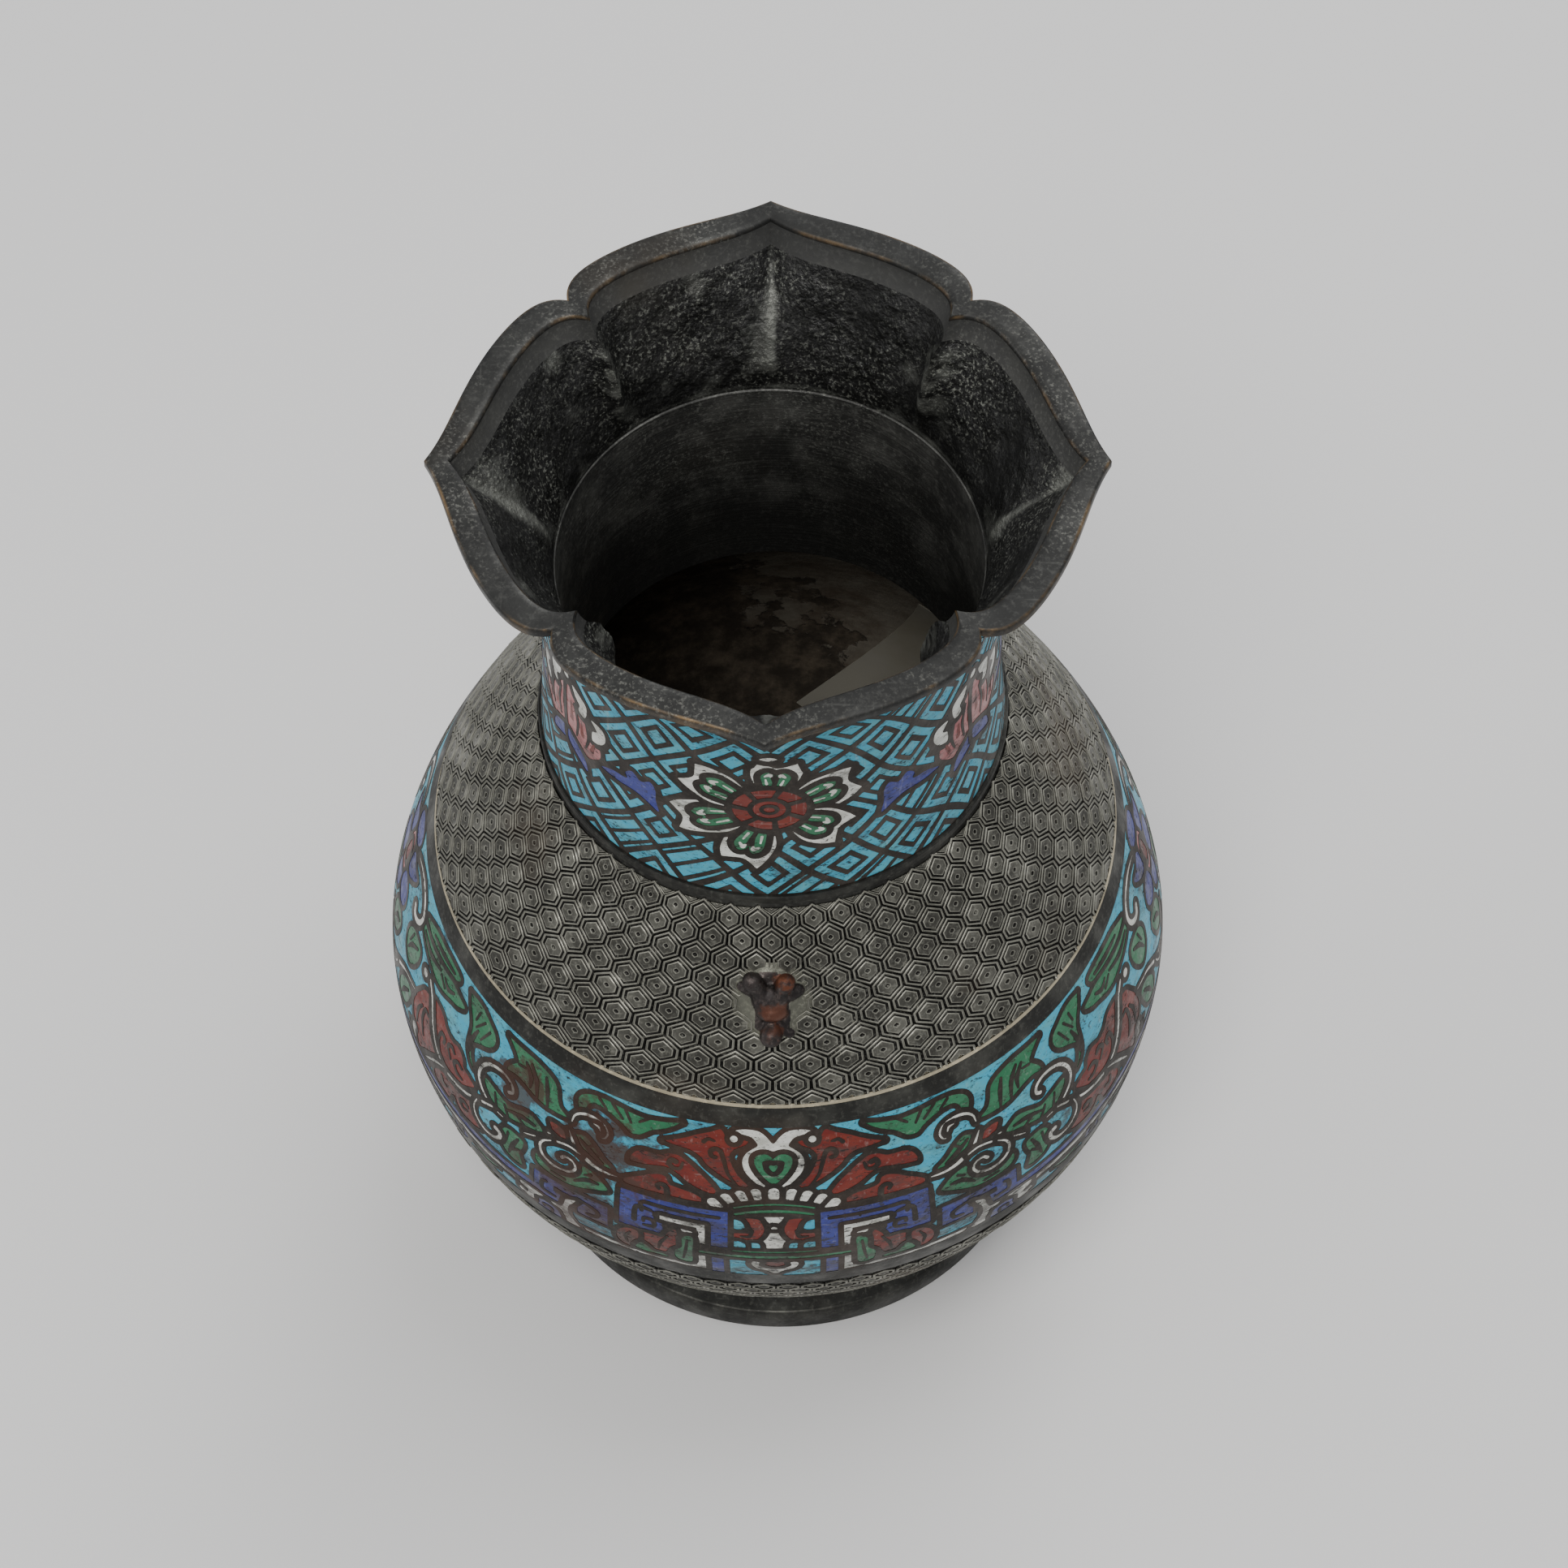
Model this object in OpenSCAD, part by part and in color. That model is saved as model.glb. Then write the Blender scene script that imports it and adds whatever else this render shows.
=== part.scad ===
// Champleve bronze vase with a barbed four-lobed mouth.
// Millimetres, +Z up, origin on the axis at the foot's resting face. The front is -Y.

/* [Body] */
// Radius of the belly at its widest
belly_r = 105.5; // [88:0.5:127]
// Height of the widest place above the table
belly_z = 107; // [89:1:129]
// Rise from the widest place to the foot of the neck
shoulder_h = 100.5; // [83:0.5:121]
// Radius of the neck where it leaves the shoulder
neck_r = 59; // [55:0.5:66]
// Radius of the waist between the body and the foot
waist_r = 67; // [60:0.5:72]
// Height of the waist
waist_z = 28; // [24:1:34]
// Wall of the body castings, measured level
wall = 4.5; // [3.7:0.1:5.5]
// Rise of the curve's power on the shoulder, 1 for straight and 2 for round
shoulder_power = 1.65; // [1.3:0.05:2]

/* [Neck and mouth] */
// Height of the round neck tube
neck_h = 62.5; // [52:0.5:75]
// Radius of the neck tube at its top
neck_top_r = 56; // [55:0.5:62]
// Radius of the turned bore through the neck
bore_r = 52; // [44:0.5:53]
// Height of the flare between the neck and the lip
flare_h = 35; // [29:0.5:42]
// Mean radius of the lip's outer edge between a point and a notch
lip_r = 74.3; // [66:0.1:84]
// How far each point of the lip stands out from that radius
tip_rise = 5.7; // [4:0.1:8]
// How far each notch of the lip is drawn in from that radius
notch_depth = 5.8; // [4:0.1:7.5]
// Width of the lip's flat top
lip_w = 7.3; // [6:0.1:8.8]
// Thickness of the lip
lip_t = 3; // [2.4:0.1:3.8]
// Overhang of the lip past the flare below it
lip_overhang = 1.8; // [1:0.1:3]
// Depth of the smooth bevel inside the lip
bevel_h = 4; // [3:0.1:6]
// How far the bevel leans in
bevel_w = 2.4; // [1.5:0.1:3]

/* [Foot and base] */
// Radius of the foot where it stands
foot_r = 74.5; // [70:0.5:90]
// Height of the upright rim of the foot
foot_rim_h = 10; // [8:0.5:12]
// Thickness of the foot ring
foot_wall = 6.5; // [5:0.5:8]
// Thickness of the base plate
base_t = 2.5; // [2:0.1:4]
// Width of the ledge that the base plate is let into
base_ledge = 3; // [2:0.5:4]
// Size of the solder bead round the base plate
bead = 1.6; // [1:0.1:2.5]

/* [Bands and enamel] */
// Depth of the enamel and of the cells that hold it
enamel_d = 0.8; // [0.6:0.1:1.2]
// Depth of the cast ground in the hexagon fields
relief_d = 0.5; // [0.3:0.1:0.8]
// Height at which the hexagon field stops above the belly
field_z = 159.5; // [150:0.5:165]
// Height of each plain fillet
fillet_h = 6; // [5:0.5:7]
// Height of the enamelled band on the belly
belly_band_h = 58; // [48:0.5:60]
// Height of the plain band below the belly enamel
plain_h = 7; // [6:0.5:9]
// Height of the small diaper band on the lower body
diaper_h = 40; // [30:1:44]
// Height of the plain fillet at the foot of the neck
collar_h = 3; // [2.5:0.1:4]
// How far that fillet stands proud
collar_out = 0.6; // [0.3:0.1:1]
// Width of the metal line between two enamels
line_w = 1; // [0.8:0.1:1.4]

/* [Joints between castings] */
// Height of the lap where two castings meet
lap_h = 4; // [3:0.5:5]
// Solder gap in each lap
solder_gap = 0.1; // [0.05:0.05:0.2]

/* [Cast boss] */
// Height of the bosses on the shoulder
boss_z = 186; // [172:1:192]
// Radius of the three round stubs
stub_r = 2.9; // [2.4:0.1:3.5]
// Radius of the tenon through the shoulder
tenon_r = 3; // [2:0.1:3.6]
// Clearance of the tenon in its hole
tenon_gap = 0.1; // [0.05:0.05:0.2]

/* [Label] */
// Width of the paper label inside the belly
label_w = 30; // [15:1:40]
// Length of the paper label
label_h = 68; // [40:1:70]
// Thickness of the paper
label_t = 0.3; // [0.2:0.1:0.5]

/* [Hidden] */
$fn = 96;

bronze = [0.13, 0.12, 0.11];
turquoise = [0.25, 0.60, 0.70];
white = [0.80, 0.78, 0.72];
green = [0.16, 0.40, 0.26];
red = [0.45, 0.12, 0.09];
blue = [0.20, 0.22, 0.50];
pink = [0.62, 0.36, 0.36];

neck_z = belly_z + shoulder_h;
mouth_z = neck_z + neck_h;
lip_z = mouth_z + flare_h;
height = lip_z + lip_t;
belly_top_z = field_z - fillet_h;
belly_bottom_z = belly_top_z - belly_band_h;
shoulder_joint_z = field_z - fillet_h / 2;
lower_joint_z = belly_bottom_z - plain_h / 2;
diaper_top_z = belly_bottom_z - plain_h;
diaper_bottom_z = max(diaper_top_z - diaper_h, waist_z + lap_h);
neck_band_z = neck_z + collar_h;
ring_step = 3;
band_step = 10;
seam = 21;

// Outer radius of the body at a height: a power curve above the widest place, an ellipse below it.
lower_reach = (belly_z - waist_z) / sqrt(1 - pow(waist_r / belly_r, 2));
function body_r(z) = z >= belly_z
    ? belly_r - (belly_r - neck_r) * pow(min(1, (z - belly_z) / shoulder_h), shoulder_power)
    : belly_r * sqrt(1 - pow((belly_z - z) / lower_reach, 2));

// Outer radius of the neck tube at a height.
function tube_r(z) = neck_top_r + (neck_r - neck_top_r) * pow(max(0, 1 - (z - neck_z) / neck_h), 2);

// Heights from one level to another in steps of about ring_step, or another step.
function levels(low, high, step = ring_step) = let (n = max(1, ceil((high - low) / step)))
    [for (i = [0:n]) low + (high - low) * i / n];
function reversed(list) = [for (i = [len(list) - 1:-1:0]) list[i]];

// Closed outline of a strip of the body's wall, between two depths below its outside.
function body_strip(low, high, outer, inner) = concat(
    [for (z = levels(low, high, band_step)) [body_r(z) - outer, z]],
    [for (z = reversed(levels(low, high, band_step))) [body_r(z) - inner, z]]);

// The lip's outline: a point every 90 degrees and a notch halfway between two points.
function from_tip(a) = let (m = abs(a) % 90) min(m, 90 - m);
tip_spread = 7;
notch_spread = 3.2;
function barb(a, base, rise, draw) = base
    + rise * exp(-from_tip(a) / tip_spread)
    - draw * exp(-(45 - from_tip(a)) / notch_spread);
function lip_outer(a) = barb(a, lip_r, tip_rise, notch_depth);
function lip_inner(a) = barb(a, lip_r - lip_w, tip_rise + 1.5, notch_depth + 0.7);

// Share of the flare reached at a height, from 0 at the neck to 1 under the lip.
function flare(z, power) = pow(max(0, min(1, (z - mouth_z) / flare_h)), power);
flare_power = 1.7;
function flare_outer(a, z) = neck_top_r + (lip_outer(a) - lip_overhang - neck_top_r) * flare(z, flare_power);
function flare_inner(a, z) = bore_r + (lip_inner(a) - bevel_w - bore_r)
    * pow(max(0, (z - mouth_z) / (flare_h - bevel_h)), flare_power);

mouth_angles = [for (i = [0:119]) i * 3];

// A ring whose section at each angle is a list of [radius, height], as one closed solid.
module section_ring(sections) {
    n = len(sections);
    m = len(sections[0]);
    points = [for (i = [0:n - 1]) for (p = sections[i])
        [p[0] * cos(mouth_angles[i]), p[0] * sin(mouth_angles[i]), p[1]]];
    faces = [for (i = [0:n - 1]) for (j = [0:m - 1])
        let (a = i * m + j, b = i * m + (j + 1) % m,
             c = ((i + 1) % n) * m + (j + 1) % m, d = ((i + 1) % n) * m + j)
        each [[a, b, c], [a, c, d]]];
    polyhedron(points, faces);
}

// The flat barbed lip with its inner bevel.
module lip() {
    edge = 0.5;
    color(bronze) section_ring([for (a = mouth_angles) [
        [lip_inner(a) - bevel_w, lip_z - bevel_h],
        [lip_inner(a), height],
        [lip_outer(a) - edge, height],
        [lip_outer(a), height - edge],
        [lip_outer(a), lip_z],
        [lip_outer(a) - lip_overhang - 2, lip_z],
        [lip_inner(a) - bevel_w + 1, lip_z - bevel_h]]]);
}

// The flare from the round neck to the barbed lip, its outside sunk for the enamel.
flare_levels = [0, 0.2, 0.4, 0.6, 0.8, 1];
enamel_top_gap = 3;
module mouth() {
    top = lip_z;
    enamel_top = lip_z - enamel_top_gap;
    outer_z = [for (t = flare_levels) mouth_z + (enamel_top - mouth_z) * t];
    inner_top = lip_z - bevel_h;
    inner_z = [for (t = reversed(flare_levels)) mouth_z + (inner_top - mouth_z) * t];
    color(bronze) section_ring([for (a = mouth_angles) concat(
        [for (z = outer_z) [flare_outer(a, z) - enamel_d, z]],
        [[flare_outer(a, enamel_top), enamel_top],
         [flare_outer(a, top) - 0.2, top],
         [lip_outer(a) - lip_overhang - 2, top],
         [lip_inner(a) - bevel_w + 1, inner_top]],
        [for (z = inner_z) [flare_inner(a, z), z]])]);
}

// Turquoise enamel round the flare.
module mouth_enamel_turquoise() {
    enamel_top = lip_z - enamel_top_gap;
    rise = [for (t = flare_levels) mouth_z + (enamel_top - mouth_z) * t];
    color(turquoise) section_ring([for (a = mouth_angles) concat(
        [for (z = rise) [flare_outer(a, z), z]],
        [for (z = reversed(rise)) [flare_outer(a, z) - enamel_d, z]])]);
}

// The neck tube: a spigot into the shoulder, a plain collar, then the cells' ground.
module neck() {
    spigot_r = neck_r - wall - solder_gap;
    up = levels(neck_band_z, mouth_z, band_step);
    color(bronze) rotate_extrude() polygon(concat(
        [[bore_r, neck_z - lap_h - 1],
         [spigot_r, neck_z - lap_h - 1],
         [spigot_r, neck_z],
         [neck_r + collar_out, neck_z],
         [neck_r + collar_out, neck_band_z]],
        [for (z = up) [tube_r(z) - enamel_d, z]],
        [[bore_r, mouth_z]]));
}

// A band of the neck's skin, as deep as the enamel.
module neck_skin() {
    up = levels(neck_band_z, mouth_z, band_step);
    rotate([0, 0, seam]) rotate_extrude() polygon(concat(
        [for (z = up) [tube_r(z), z]],
        [for (z = reversed(up)) [tube_r(z) - enamel_d, z]]));
}

// A band of the belly's skin, as deep as the enamel.
module belly_skin() {
    rotate([0, 0, seam]) rotate_extrude()
        polygon(body_strip(belly_bottom_z, belly_top_z, 0, enamel_d));
}

// A short round rod out through the wall at an angle round the axis, -90 being the front.
// It starts a little way inside the wall's radius r_wall.
module rod(angle, z, r, r_wall) {
    inside = 18;
    translate([0, 0, z]) rotate([0, 0, angle]) rotate([0, 90, 0])
        translate([0, 0, r_wall - inside]) cylinder(r = r, h = 2 * inside);
}

// A round rod with a round hole through it.
module rod_ring(angle, z, r, hole, r_wall) {
    difference() {
        rod(angle, z, r, r_wall);
        rod(angle, z, hole, r_wall);
    }
}

// Neck flowers: three seen full face, the first at the front, and three seen from the side.
rosette_z = neck_band_z + 26;
rosette_r = [9, 16, 22];
rosettes = [-90, 30, 150];
lotuses = [-30, 90, 210];
module neck_enamel_red() {
    color(red) intersection() {
        neck_skin();
        for (a = rosettes) rod(a, rosette_z, rosette_r[0], neck_top_r);
    }
}
module neck_enamel_green() {
    color(green) intersection() {
        neck_skin();
        for (a = rosettes) rod_ring(a, rosette_z, rosette_r[1], rosette_r[0] + line_w, neck_top_r);
    }
}
module neck_enamel_white() {
    color(white) intersection() {
        neck_skin();
        for (a = rosettes) rod_ring(a, rosette_z, rosette_r[2], rosette_r[1] + line_w, neck_top_r);
    }
}
module neck_enamel_pink() {
    color(pink) intersection() {
        neck_skin();
        for (a = lotuses) rod(a, rosette_z, rosette_r[1], neck_top_r);
    }
}
module neck_enamel_blue() {
    color(blue) intersection() {
        neck_skin();
        for (a = lotuses) rod_ring(a, rosette_z, rosette_r[2], rosette_r[1] + line_w, neck_top_r);
    }
}
module neck_enamel_turquoise() {
    color(turquoise) difference() {
        neck_skin();
        for (a = concat(rosettes, lotuses)) rod(a, rosette_z, rosette_r[2] + line_w, neck_top_r);
    }
}

// Belly motifs: palmettes at front and back, blue blossoms at the sides, and between them
// a red flower with leaves. Each is [angle, height, radius].
palmette_z = belly_top_z - 14;
flower_z = (belly_top_z + belly_bottom_z) / 2 + 2;
leaf_z = belly_top_z - 10;
fret_z = belly_bottom_z + 13;
spot_wall = belly_r - 2;
red_spots = [for (a = [-90, 90]) for (s = [-1, 1])
    each [[a + s * 14, palmette_z, 9], [a + s * 57, flower_z, 13]]];
white_spots = [for (a = [-90, 90])
    each [[a, palmette_z, 8], [a - 29, flower_z, 6], [a + 29, flower_z, 6]]];
green_spots = [for (a = [-90, 90]) for (s = [-1, 1])
    each [[a + s * 31, leaf_z, 6], [a + s * 42, leaf_z, 6]]];
blue_spots = concat(
    [for (a = [-90, 90]) for (s = [-1, 1]) [a + s * 16, fret_z, 9]],
    [for (a = [0, 180]) [a, leaf_z - 4, 9]]);
module spots(list, extra = 0) {
    for (s = list) rod(s[0], s[1], s[2] + extra, spot_wall);
}
module belly_enamel_red() {
    color(red) intersection() { belly_skin(); spots(red_spots); }
}
module belly_enamel_white() {
    color(white) intersection() { belly_skin(); spots(white_spots); }
}
module belly_enamel_green() {
    color(green) intersection() { belly_skin(); spots(green_spots); }
}
module belly_enamel_blue() {
    color(blue) intersection() { belly_skin(); spots(blue_spots); }
}
module belly_enamel_turquoise() {
    color(turquoise) difference() {
        belly_skin();
        spots(concat(red_spots, white_spots, green_spots, blue_spots), line_w);
    }
}

// The shoulder casting: counterbored over the belly's tongue, sunk for the hexagon relief.
module shoulder() {
    lap_top = shoulder_joint_z + lap_h;
    field_top = neck_z - 1.5;
    color(bronze) difference() {
        rotate_extrude() polygon(concat(
            [for (z = levels(shoulder_joint_z, field_z)) [body_r(z), z]],
            [for (z = levels(field_z, field_top)) [body_r(z) - relief_d, z]],
            [[body_r(field_top), field_top], [neck_r, neck_z],
             [neck_r - wall, neck_z]],
            [for (z = reversed(levels(lap_top, neck_z - wall))) [body_r(z) - wall, z]],
            [for (z = reversed(levels(shoulder_joint_z, lap_top))) [body_r(z) - wall / 2, z]]));
        for (side = [0, 180]) rotate([0, 0, side]) boss_axis() {
            translate([0, 0, -seat_d]) cylinder(r = seat_r, h = 2 * arm);
            cylinder(r = tenon_r + tenon_gap, h = 6 * wall, center = true);
        }
    }
}

// The belly casting, with a tongue at the top, a counterbore below and cells' ground outside.
module belly() {
    tongue = wall / 2 + solder_gap;
    color(bronze) rotate_extrude() polygon(concat(
        [for (z = levels(lower_joint_z, belly_bottom_z)) [body_r(z), z]],
        [for (z = levels(belly_bottom_z, belly_top_z, band_step)) [body_r(z) - enamel_d, z]],
        [for (z = levels(belly_top_z, shoulder_joint_z)) [body_r(z), z]],
        [for (z = levels(shoulder_joint_z, shoulder_joint_z + lap_h)) [body_r(z) - tongue, z]],
        [for (z = reversed(levels(lower_joint_z + lap_h, shoulder_joint_z + lap_h)))
            [body_r(z) - wall, z]],
        [for (z = reversed(levels(lower_joint_z, lower_joint_z + lap_h)))
            [body_r(z) - wall / 2, z]]));
}

// The lower body, with its tongue up into the belly and the small diaper field outside.
module lower_body() {
    tongue = wall / 2 + solder_gap;
    color(bronze) rotate_extrude() polygon(concat(
        [for (z = levels(waist_z, diaper_bottom_z)) [body_r(z), z]],
        [for (z = levels(diaper_bottom_z, diaper_top_z)) [body_r(z) - relief_d, z]],
        [for (z = levels(diaper_top_z, lower_joint_z)) [body_r(z), z]],
        [for (z = levels(lower_joint_z, lower_joint_z + lap_h)) [body_r(z) - tongue, z]],
        [for (z = reversed(levels(waist_z, lower_joint_z + lap_h))) [body_r(z) - wall, z]]));
}

// Share of the foot's curve reached at a height, from 0 at the rim to 1 at the waist.
function foot_share(z) = 1 - pow(1 - (z - foot_rim_h) / (waist_z - foot_rim_h), 2.2);

// The foot: an upright rim, a hollow curve up to the waist, and a seat for the base plate.
// Its inside widens with the outside, so that the plate passes up to its seat.
plate_r = waist_r - wall + base_ledge;
seat_z = waist_z - 1 - base_t;
module foot_ring() {
    outside = [for (z = levels(foot_rim_h, waist_z, 2.25))
        [foot_r - 1 + z / waist_z - (foot_r - waist_r) * foot_share(z), z]];
    edge = 1;
    inner_r = plate_r + solder_gap;
    foot_in = foot_r - foot_wall;
    inside = [for (z = reversed(levels(foot_rim_h, seat_z, 2.4)))
        [foot_in - (foot_in - inner_r) * foot_share(z) / foot_share(seat_z), z]];
    color(bronze) rotate_extrude() polygon(concat(
        [[foot_r - edge, 0], [foot_r, edge], [foot_r, foot_rim_h - 1], [foot_r - 1, foot_rim_h]],
        outside,
        [[waist_r - wall, waist_z],
         [waist_r - wall, waist_z - 1],
         [inner_r, waist_z - 1]],
        inside,
        [[foot_in, 0]]));
}

// The base plate, let up into the foot.
module base_plate() {
    color(bronze) translate([0, 0, seat_z]) cylinder(r = plate_r, h = base_t);
}

// The solder bead round the underside of the base plate.
module base_solder() {
    color([0.35, 0.34, 0.32]) rotate_extrude() polygon([
        [plate_r - bead, seat_z], [plate_r - 0.02, seat_z], [plate_r - 0.02, seat_z - bead]]);
}

// Puts a boss on the shoulder at the front, with its own Z out of the wall.
boss_tilt = atan2(body_r(boss_z - 2) - body_r(boss_z + 2), 4);
module boss_axis() {
    translate([0, -body_r(boss_z) + relief_d, boss_z]) rotate([90 - boss_tilt, 0, 0]) children();
}

// The cast boss: a round pad let into the wall, a three-armed body with a stub on each arm,
// a small lobe at each side, and a tenon through the wall.
arm = 9;
seat_r = 12;
seat_d = 1;
pad_t = 0.9;
module boss_shape() {
    stubs = [[-arm * 0.52, arm * 0.72, stub_r], [arm * 0.42, arm * 0.72, stub_r],
             [0, -arm * 0.86, stub_r * 1.1]];
    lobes = [[-arm * 0.85, 0, stub_r * 0.8], [arm * 0.9, 0.5, stub_r * 0.8],
             [arm * 0.55, -arm * 0.62, stub_r * 0.6]];
    low = pad_t - seat_d;
    translate([0, 0, -seat_d]) cylinder(r = seat_r - solder_gap, h = pad_t);
    translate([0, 0, low]) cylinder(r1 = arm * 0.6, r2 = arm * 0.42, h = stub_r * 1.2);
    for (s = stubs) translate([s[0], s[1], low]) {
        cylinder(r = s[2], h = stub_r);
        translate([0, 0, stub_r]) cylinder(r1 = s[2], r2 = s[2] * 0.6, h = stub_r * 0.8);
    }
    for (s = lobes) translate([s[0], s[1], low]) cylinder(r1 = s[2], r2 = s[2] * 0.7, h = stub_r * 0.6);
    translate([0, 0, -2 * wall]) cylinder(r = tenon_r, h = 2 * wall);
}
module front_boss() { color([0.16, 0.10, 0.08]) boss_axis() boss_shape(); }
module back_boss() { color([0.16, 0.10, 0.08]) rotate([0, 0, 180]) boss_axis() boss_shape(); }

// A blank paper label stuck to the inner wall of the belly, behind the axis.
label_z = belly_z - 15;
label_angle = 69.5;
label_turn = 33;
label_gap = 0.3;
module inner_label() {
    low = lower_joint_z + lap_h - 46;
    high = shoulder_joint_z;
    color([0.55, 0.54, 0.50]) intersection() {
        rotate([0, 0, seam]) rotate_extrude()
            polygon(body_strip(low, high, wall + label_gap, wall + label_gap + label_t));
        translate([0, 0, label_z]) rotate([0, 0, label_angle]) rotate([0, 90, 0])
            rotate([0, 0, label_turn]) translate([-label_h / 2, -label_w / 2, belly_r / 2])
            cube([label_h, label_w, belly_r]);
    }
}

lip();
mouth();
neck();
shoulder();
belly();
lower_body();
foot_ring();
base_plate();
base_solder();
front_boss();
back_boss();
mouth_enamel_turquoise();
neck_enamel_turquoise();
neck_enamel_white();
neck_enamel_green();
neck_enamel_red();
neck_enamel_blue();
neck_enamel_pink();
belly_enamel_turquoise();
belly_enamel_white();
belly_enamel_green();
belly_enamel_red();
belly_enamel_blue();
inner_label();
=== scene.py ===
import bmesh
import bpy
import math
import numpy as np
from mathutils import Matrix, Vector, noise
from mathutils.geometry import delaunay_2d_cdt


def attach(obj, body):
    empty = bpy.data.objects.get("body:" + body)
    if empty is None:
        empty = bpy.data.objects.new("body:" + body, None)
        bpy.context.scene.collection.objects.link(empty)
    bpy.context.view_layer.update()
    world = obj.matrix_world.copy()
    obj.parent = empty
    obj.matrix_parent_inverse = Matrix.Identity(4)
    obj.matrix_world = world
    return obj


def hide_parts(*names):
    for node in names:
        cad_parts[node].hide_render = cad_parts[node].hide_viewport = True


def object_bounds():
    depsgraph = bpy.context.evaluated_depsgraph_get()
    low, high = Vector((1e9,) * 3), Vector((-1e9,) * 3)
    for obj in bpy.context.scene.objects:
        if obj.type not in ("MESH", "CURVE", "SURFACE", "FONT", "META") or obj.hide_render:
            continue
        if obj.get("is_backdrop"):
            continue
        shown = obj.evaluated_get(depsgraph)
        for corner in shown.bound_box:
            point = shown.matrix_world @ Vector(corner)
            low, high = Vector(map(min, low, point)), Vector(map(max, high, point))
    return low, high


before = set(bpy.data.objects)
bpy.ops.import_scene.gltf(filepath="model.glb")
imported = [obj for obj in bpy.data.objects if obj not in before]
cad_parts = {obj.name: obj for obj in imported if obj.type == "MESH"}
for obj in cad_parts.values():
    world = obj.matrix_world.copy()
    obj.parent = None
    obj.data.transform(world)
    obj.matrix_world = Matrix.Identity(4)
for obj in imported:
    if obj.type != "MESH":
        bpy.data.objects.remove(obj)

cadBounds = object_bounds()
mm = 0.001
print("frame loaded")

# the turned form, in millimetres above the table; the front is -Y
vaseForm = {"bellyR": 105.5, "bellyZ": 107, "shoulderRise": 100.5, "neckR": 59, "waistR": 67,
    "waistZ": 28, "wall": 4.5, "shoulderPower": 1.65, "neckHeight": 62.5, "neckTopR": 56, "boreR": 52,
    "flareHeight": 35, "flarePower": 1.7, "lipR": 74.3, "tipRise": 5.7, "notchDepth": 5.8,
    "lipWidth": 7.3, "lipThick": 3, "overhang": 1.8, "bevelHeight": 4, "bevelWidth": 2.4, "footR": 74.5,
    "footRim": 10, "footWall": 6.5}
neckZ = vaseForm["bellyZ"] + vaseForm["shoulderRise"]
mouthZ = neckZ + vaseForm["neckHeight"]
lipZ = mouthZ + vaseForm["flareHeight"]
topZ = lipZ + vaseForm["lipThick"]
bandTop, bandBottom = 153.5, 95.5        # the enamelled belly band
collarTop = neckZ + 3
jointHigh, jointLow = 156.5, 92          # where the castings meet
diaperTop, diaperBottom = 88.5, 48.5     # the small diaper on the lower body


def bodyR(z):
    form = vaseForm
    if z >= form["bellyZ"]:
        share = min(1, (z - form["bellyZ"]) / form["shoulderRise"])
        return form["bellyR"] - (form["bellyR"] - form["neckR"]) * share ** form["shoulderPower"]
    reach = (form["bellyZ"] - form["waistZ"]) / math.sqrt(1 - (form["waistR"] / form["bellyR"]) ** 2)
    return form["bellyR"] * math.sqrt(1 - ((form["bellyZ"] - z) / reach) ** 2)


# the length along the body's skin from the first height to each of the others
def skinLengths(heights):
    radii = np.array([bodyR(z) for z in heights])
    return np.concatenate([[0], np.cumsum(np.hypot(np.diff(heights), np.diff(radii)))])


def tubeR(z):
    share = max(0, 1 - (z - neckZ) / vaseForm["neckHeight"])
    return vaseForm["neckTopR"] + (vaseForm["neckR"] - vaseForm["neckTopR"]) * share ** 2


def fromTip(degrees):
    turn = abs(degrees) % 90
    return min(turn, 90 - turn)


def barb(degrees, base, rise, draw):
    away = fromTip(degrees)
    return base + rise * math.exp(-away / 7) - draw * math.exp(-(45 - away) / 3.2)


def lipOuter(degrees):
    return barb(degrees, vaseForm["lipR"], vaseForm["tipRise"], vaseForm["notchDepth"])


def lipInner(degrees):
    form = vaseForm
    return barb(degrees, form["lipR"] - form["lipWidth"], form["tipRise"] + 1.5, form["notchDepth"] + 0.7)


def neckOutside(degrees, z):
    if z <= mouthZ:
        return tubeR(z)
    share = min(1, (z - mouthZ) / vaseForm["flareHeight"]) ** vaseForm["flarePower"]
    return vaseForm["neckTopR"] + (lipOuter(degrees) - vaseForm["overhang"]
        - vaseForm["neckTopR"]) * share


def around(radius, degrees, z):
    turn = math.radians(degrees)
    return (radius * math.cos(turn) * mm, radius * math.sin(turn) * mm, z * mm)


def between(low, high, step):
    count = max(1, math.ceil(abs(high - low) / step))
    return [low + (high - low) * i / count for i in range(count + 1)]


def makePiece(name, verts, faces, material, nodes=(), sharp=35):
    mesh = bpy.data.meshes.new(name)
    mesh.from_pydata([tuple(v) for v in verts], [], [tuple(f) for f in faces])
    mesh.validate()
    mesh.shade_smooth()
    mesh.set_sharp_from_angle(angle=math.radians(sharp))
    mesh.materials.append(material)
    piece = bpy.data.objects.new(name, mesh)
    bpy.context.scene.collection.objects.link(piece)
    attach(piece, "root")
    if nodes:
        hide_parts(*nodes)
    return piece


# a closed outline of (radius, height) turned about the axis; it runs counter-clockwise with
# the radius to the right and the height up
def turned(name, outline, material, nodes=(), steps=288):
    count = len(outline)
    verts = [around(r, 360 * i / steps, z) for i in range(steps) for r, z in outline]
    faces = [(i * count + j, ((i + 1) % steps) * count + j, ((i + 1) % steps) * count + (j + 1) % count,
        i * count + (j + 1) % count) for i in range(steps) for j in range(count)]
    return makePiece(name, verts, faces, material, nodes)


# shader groups that several materials share


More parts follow.
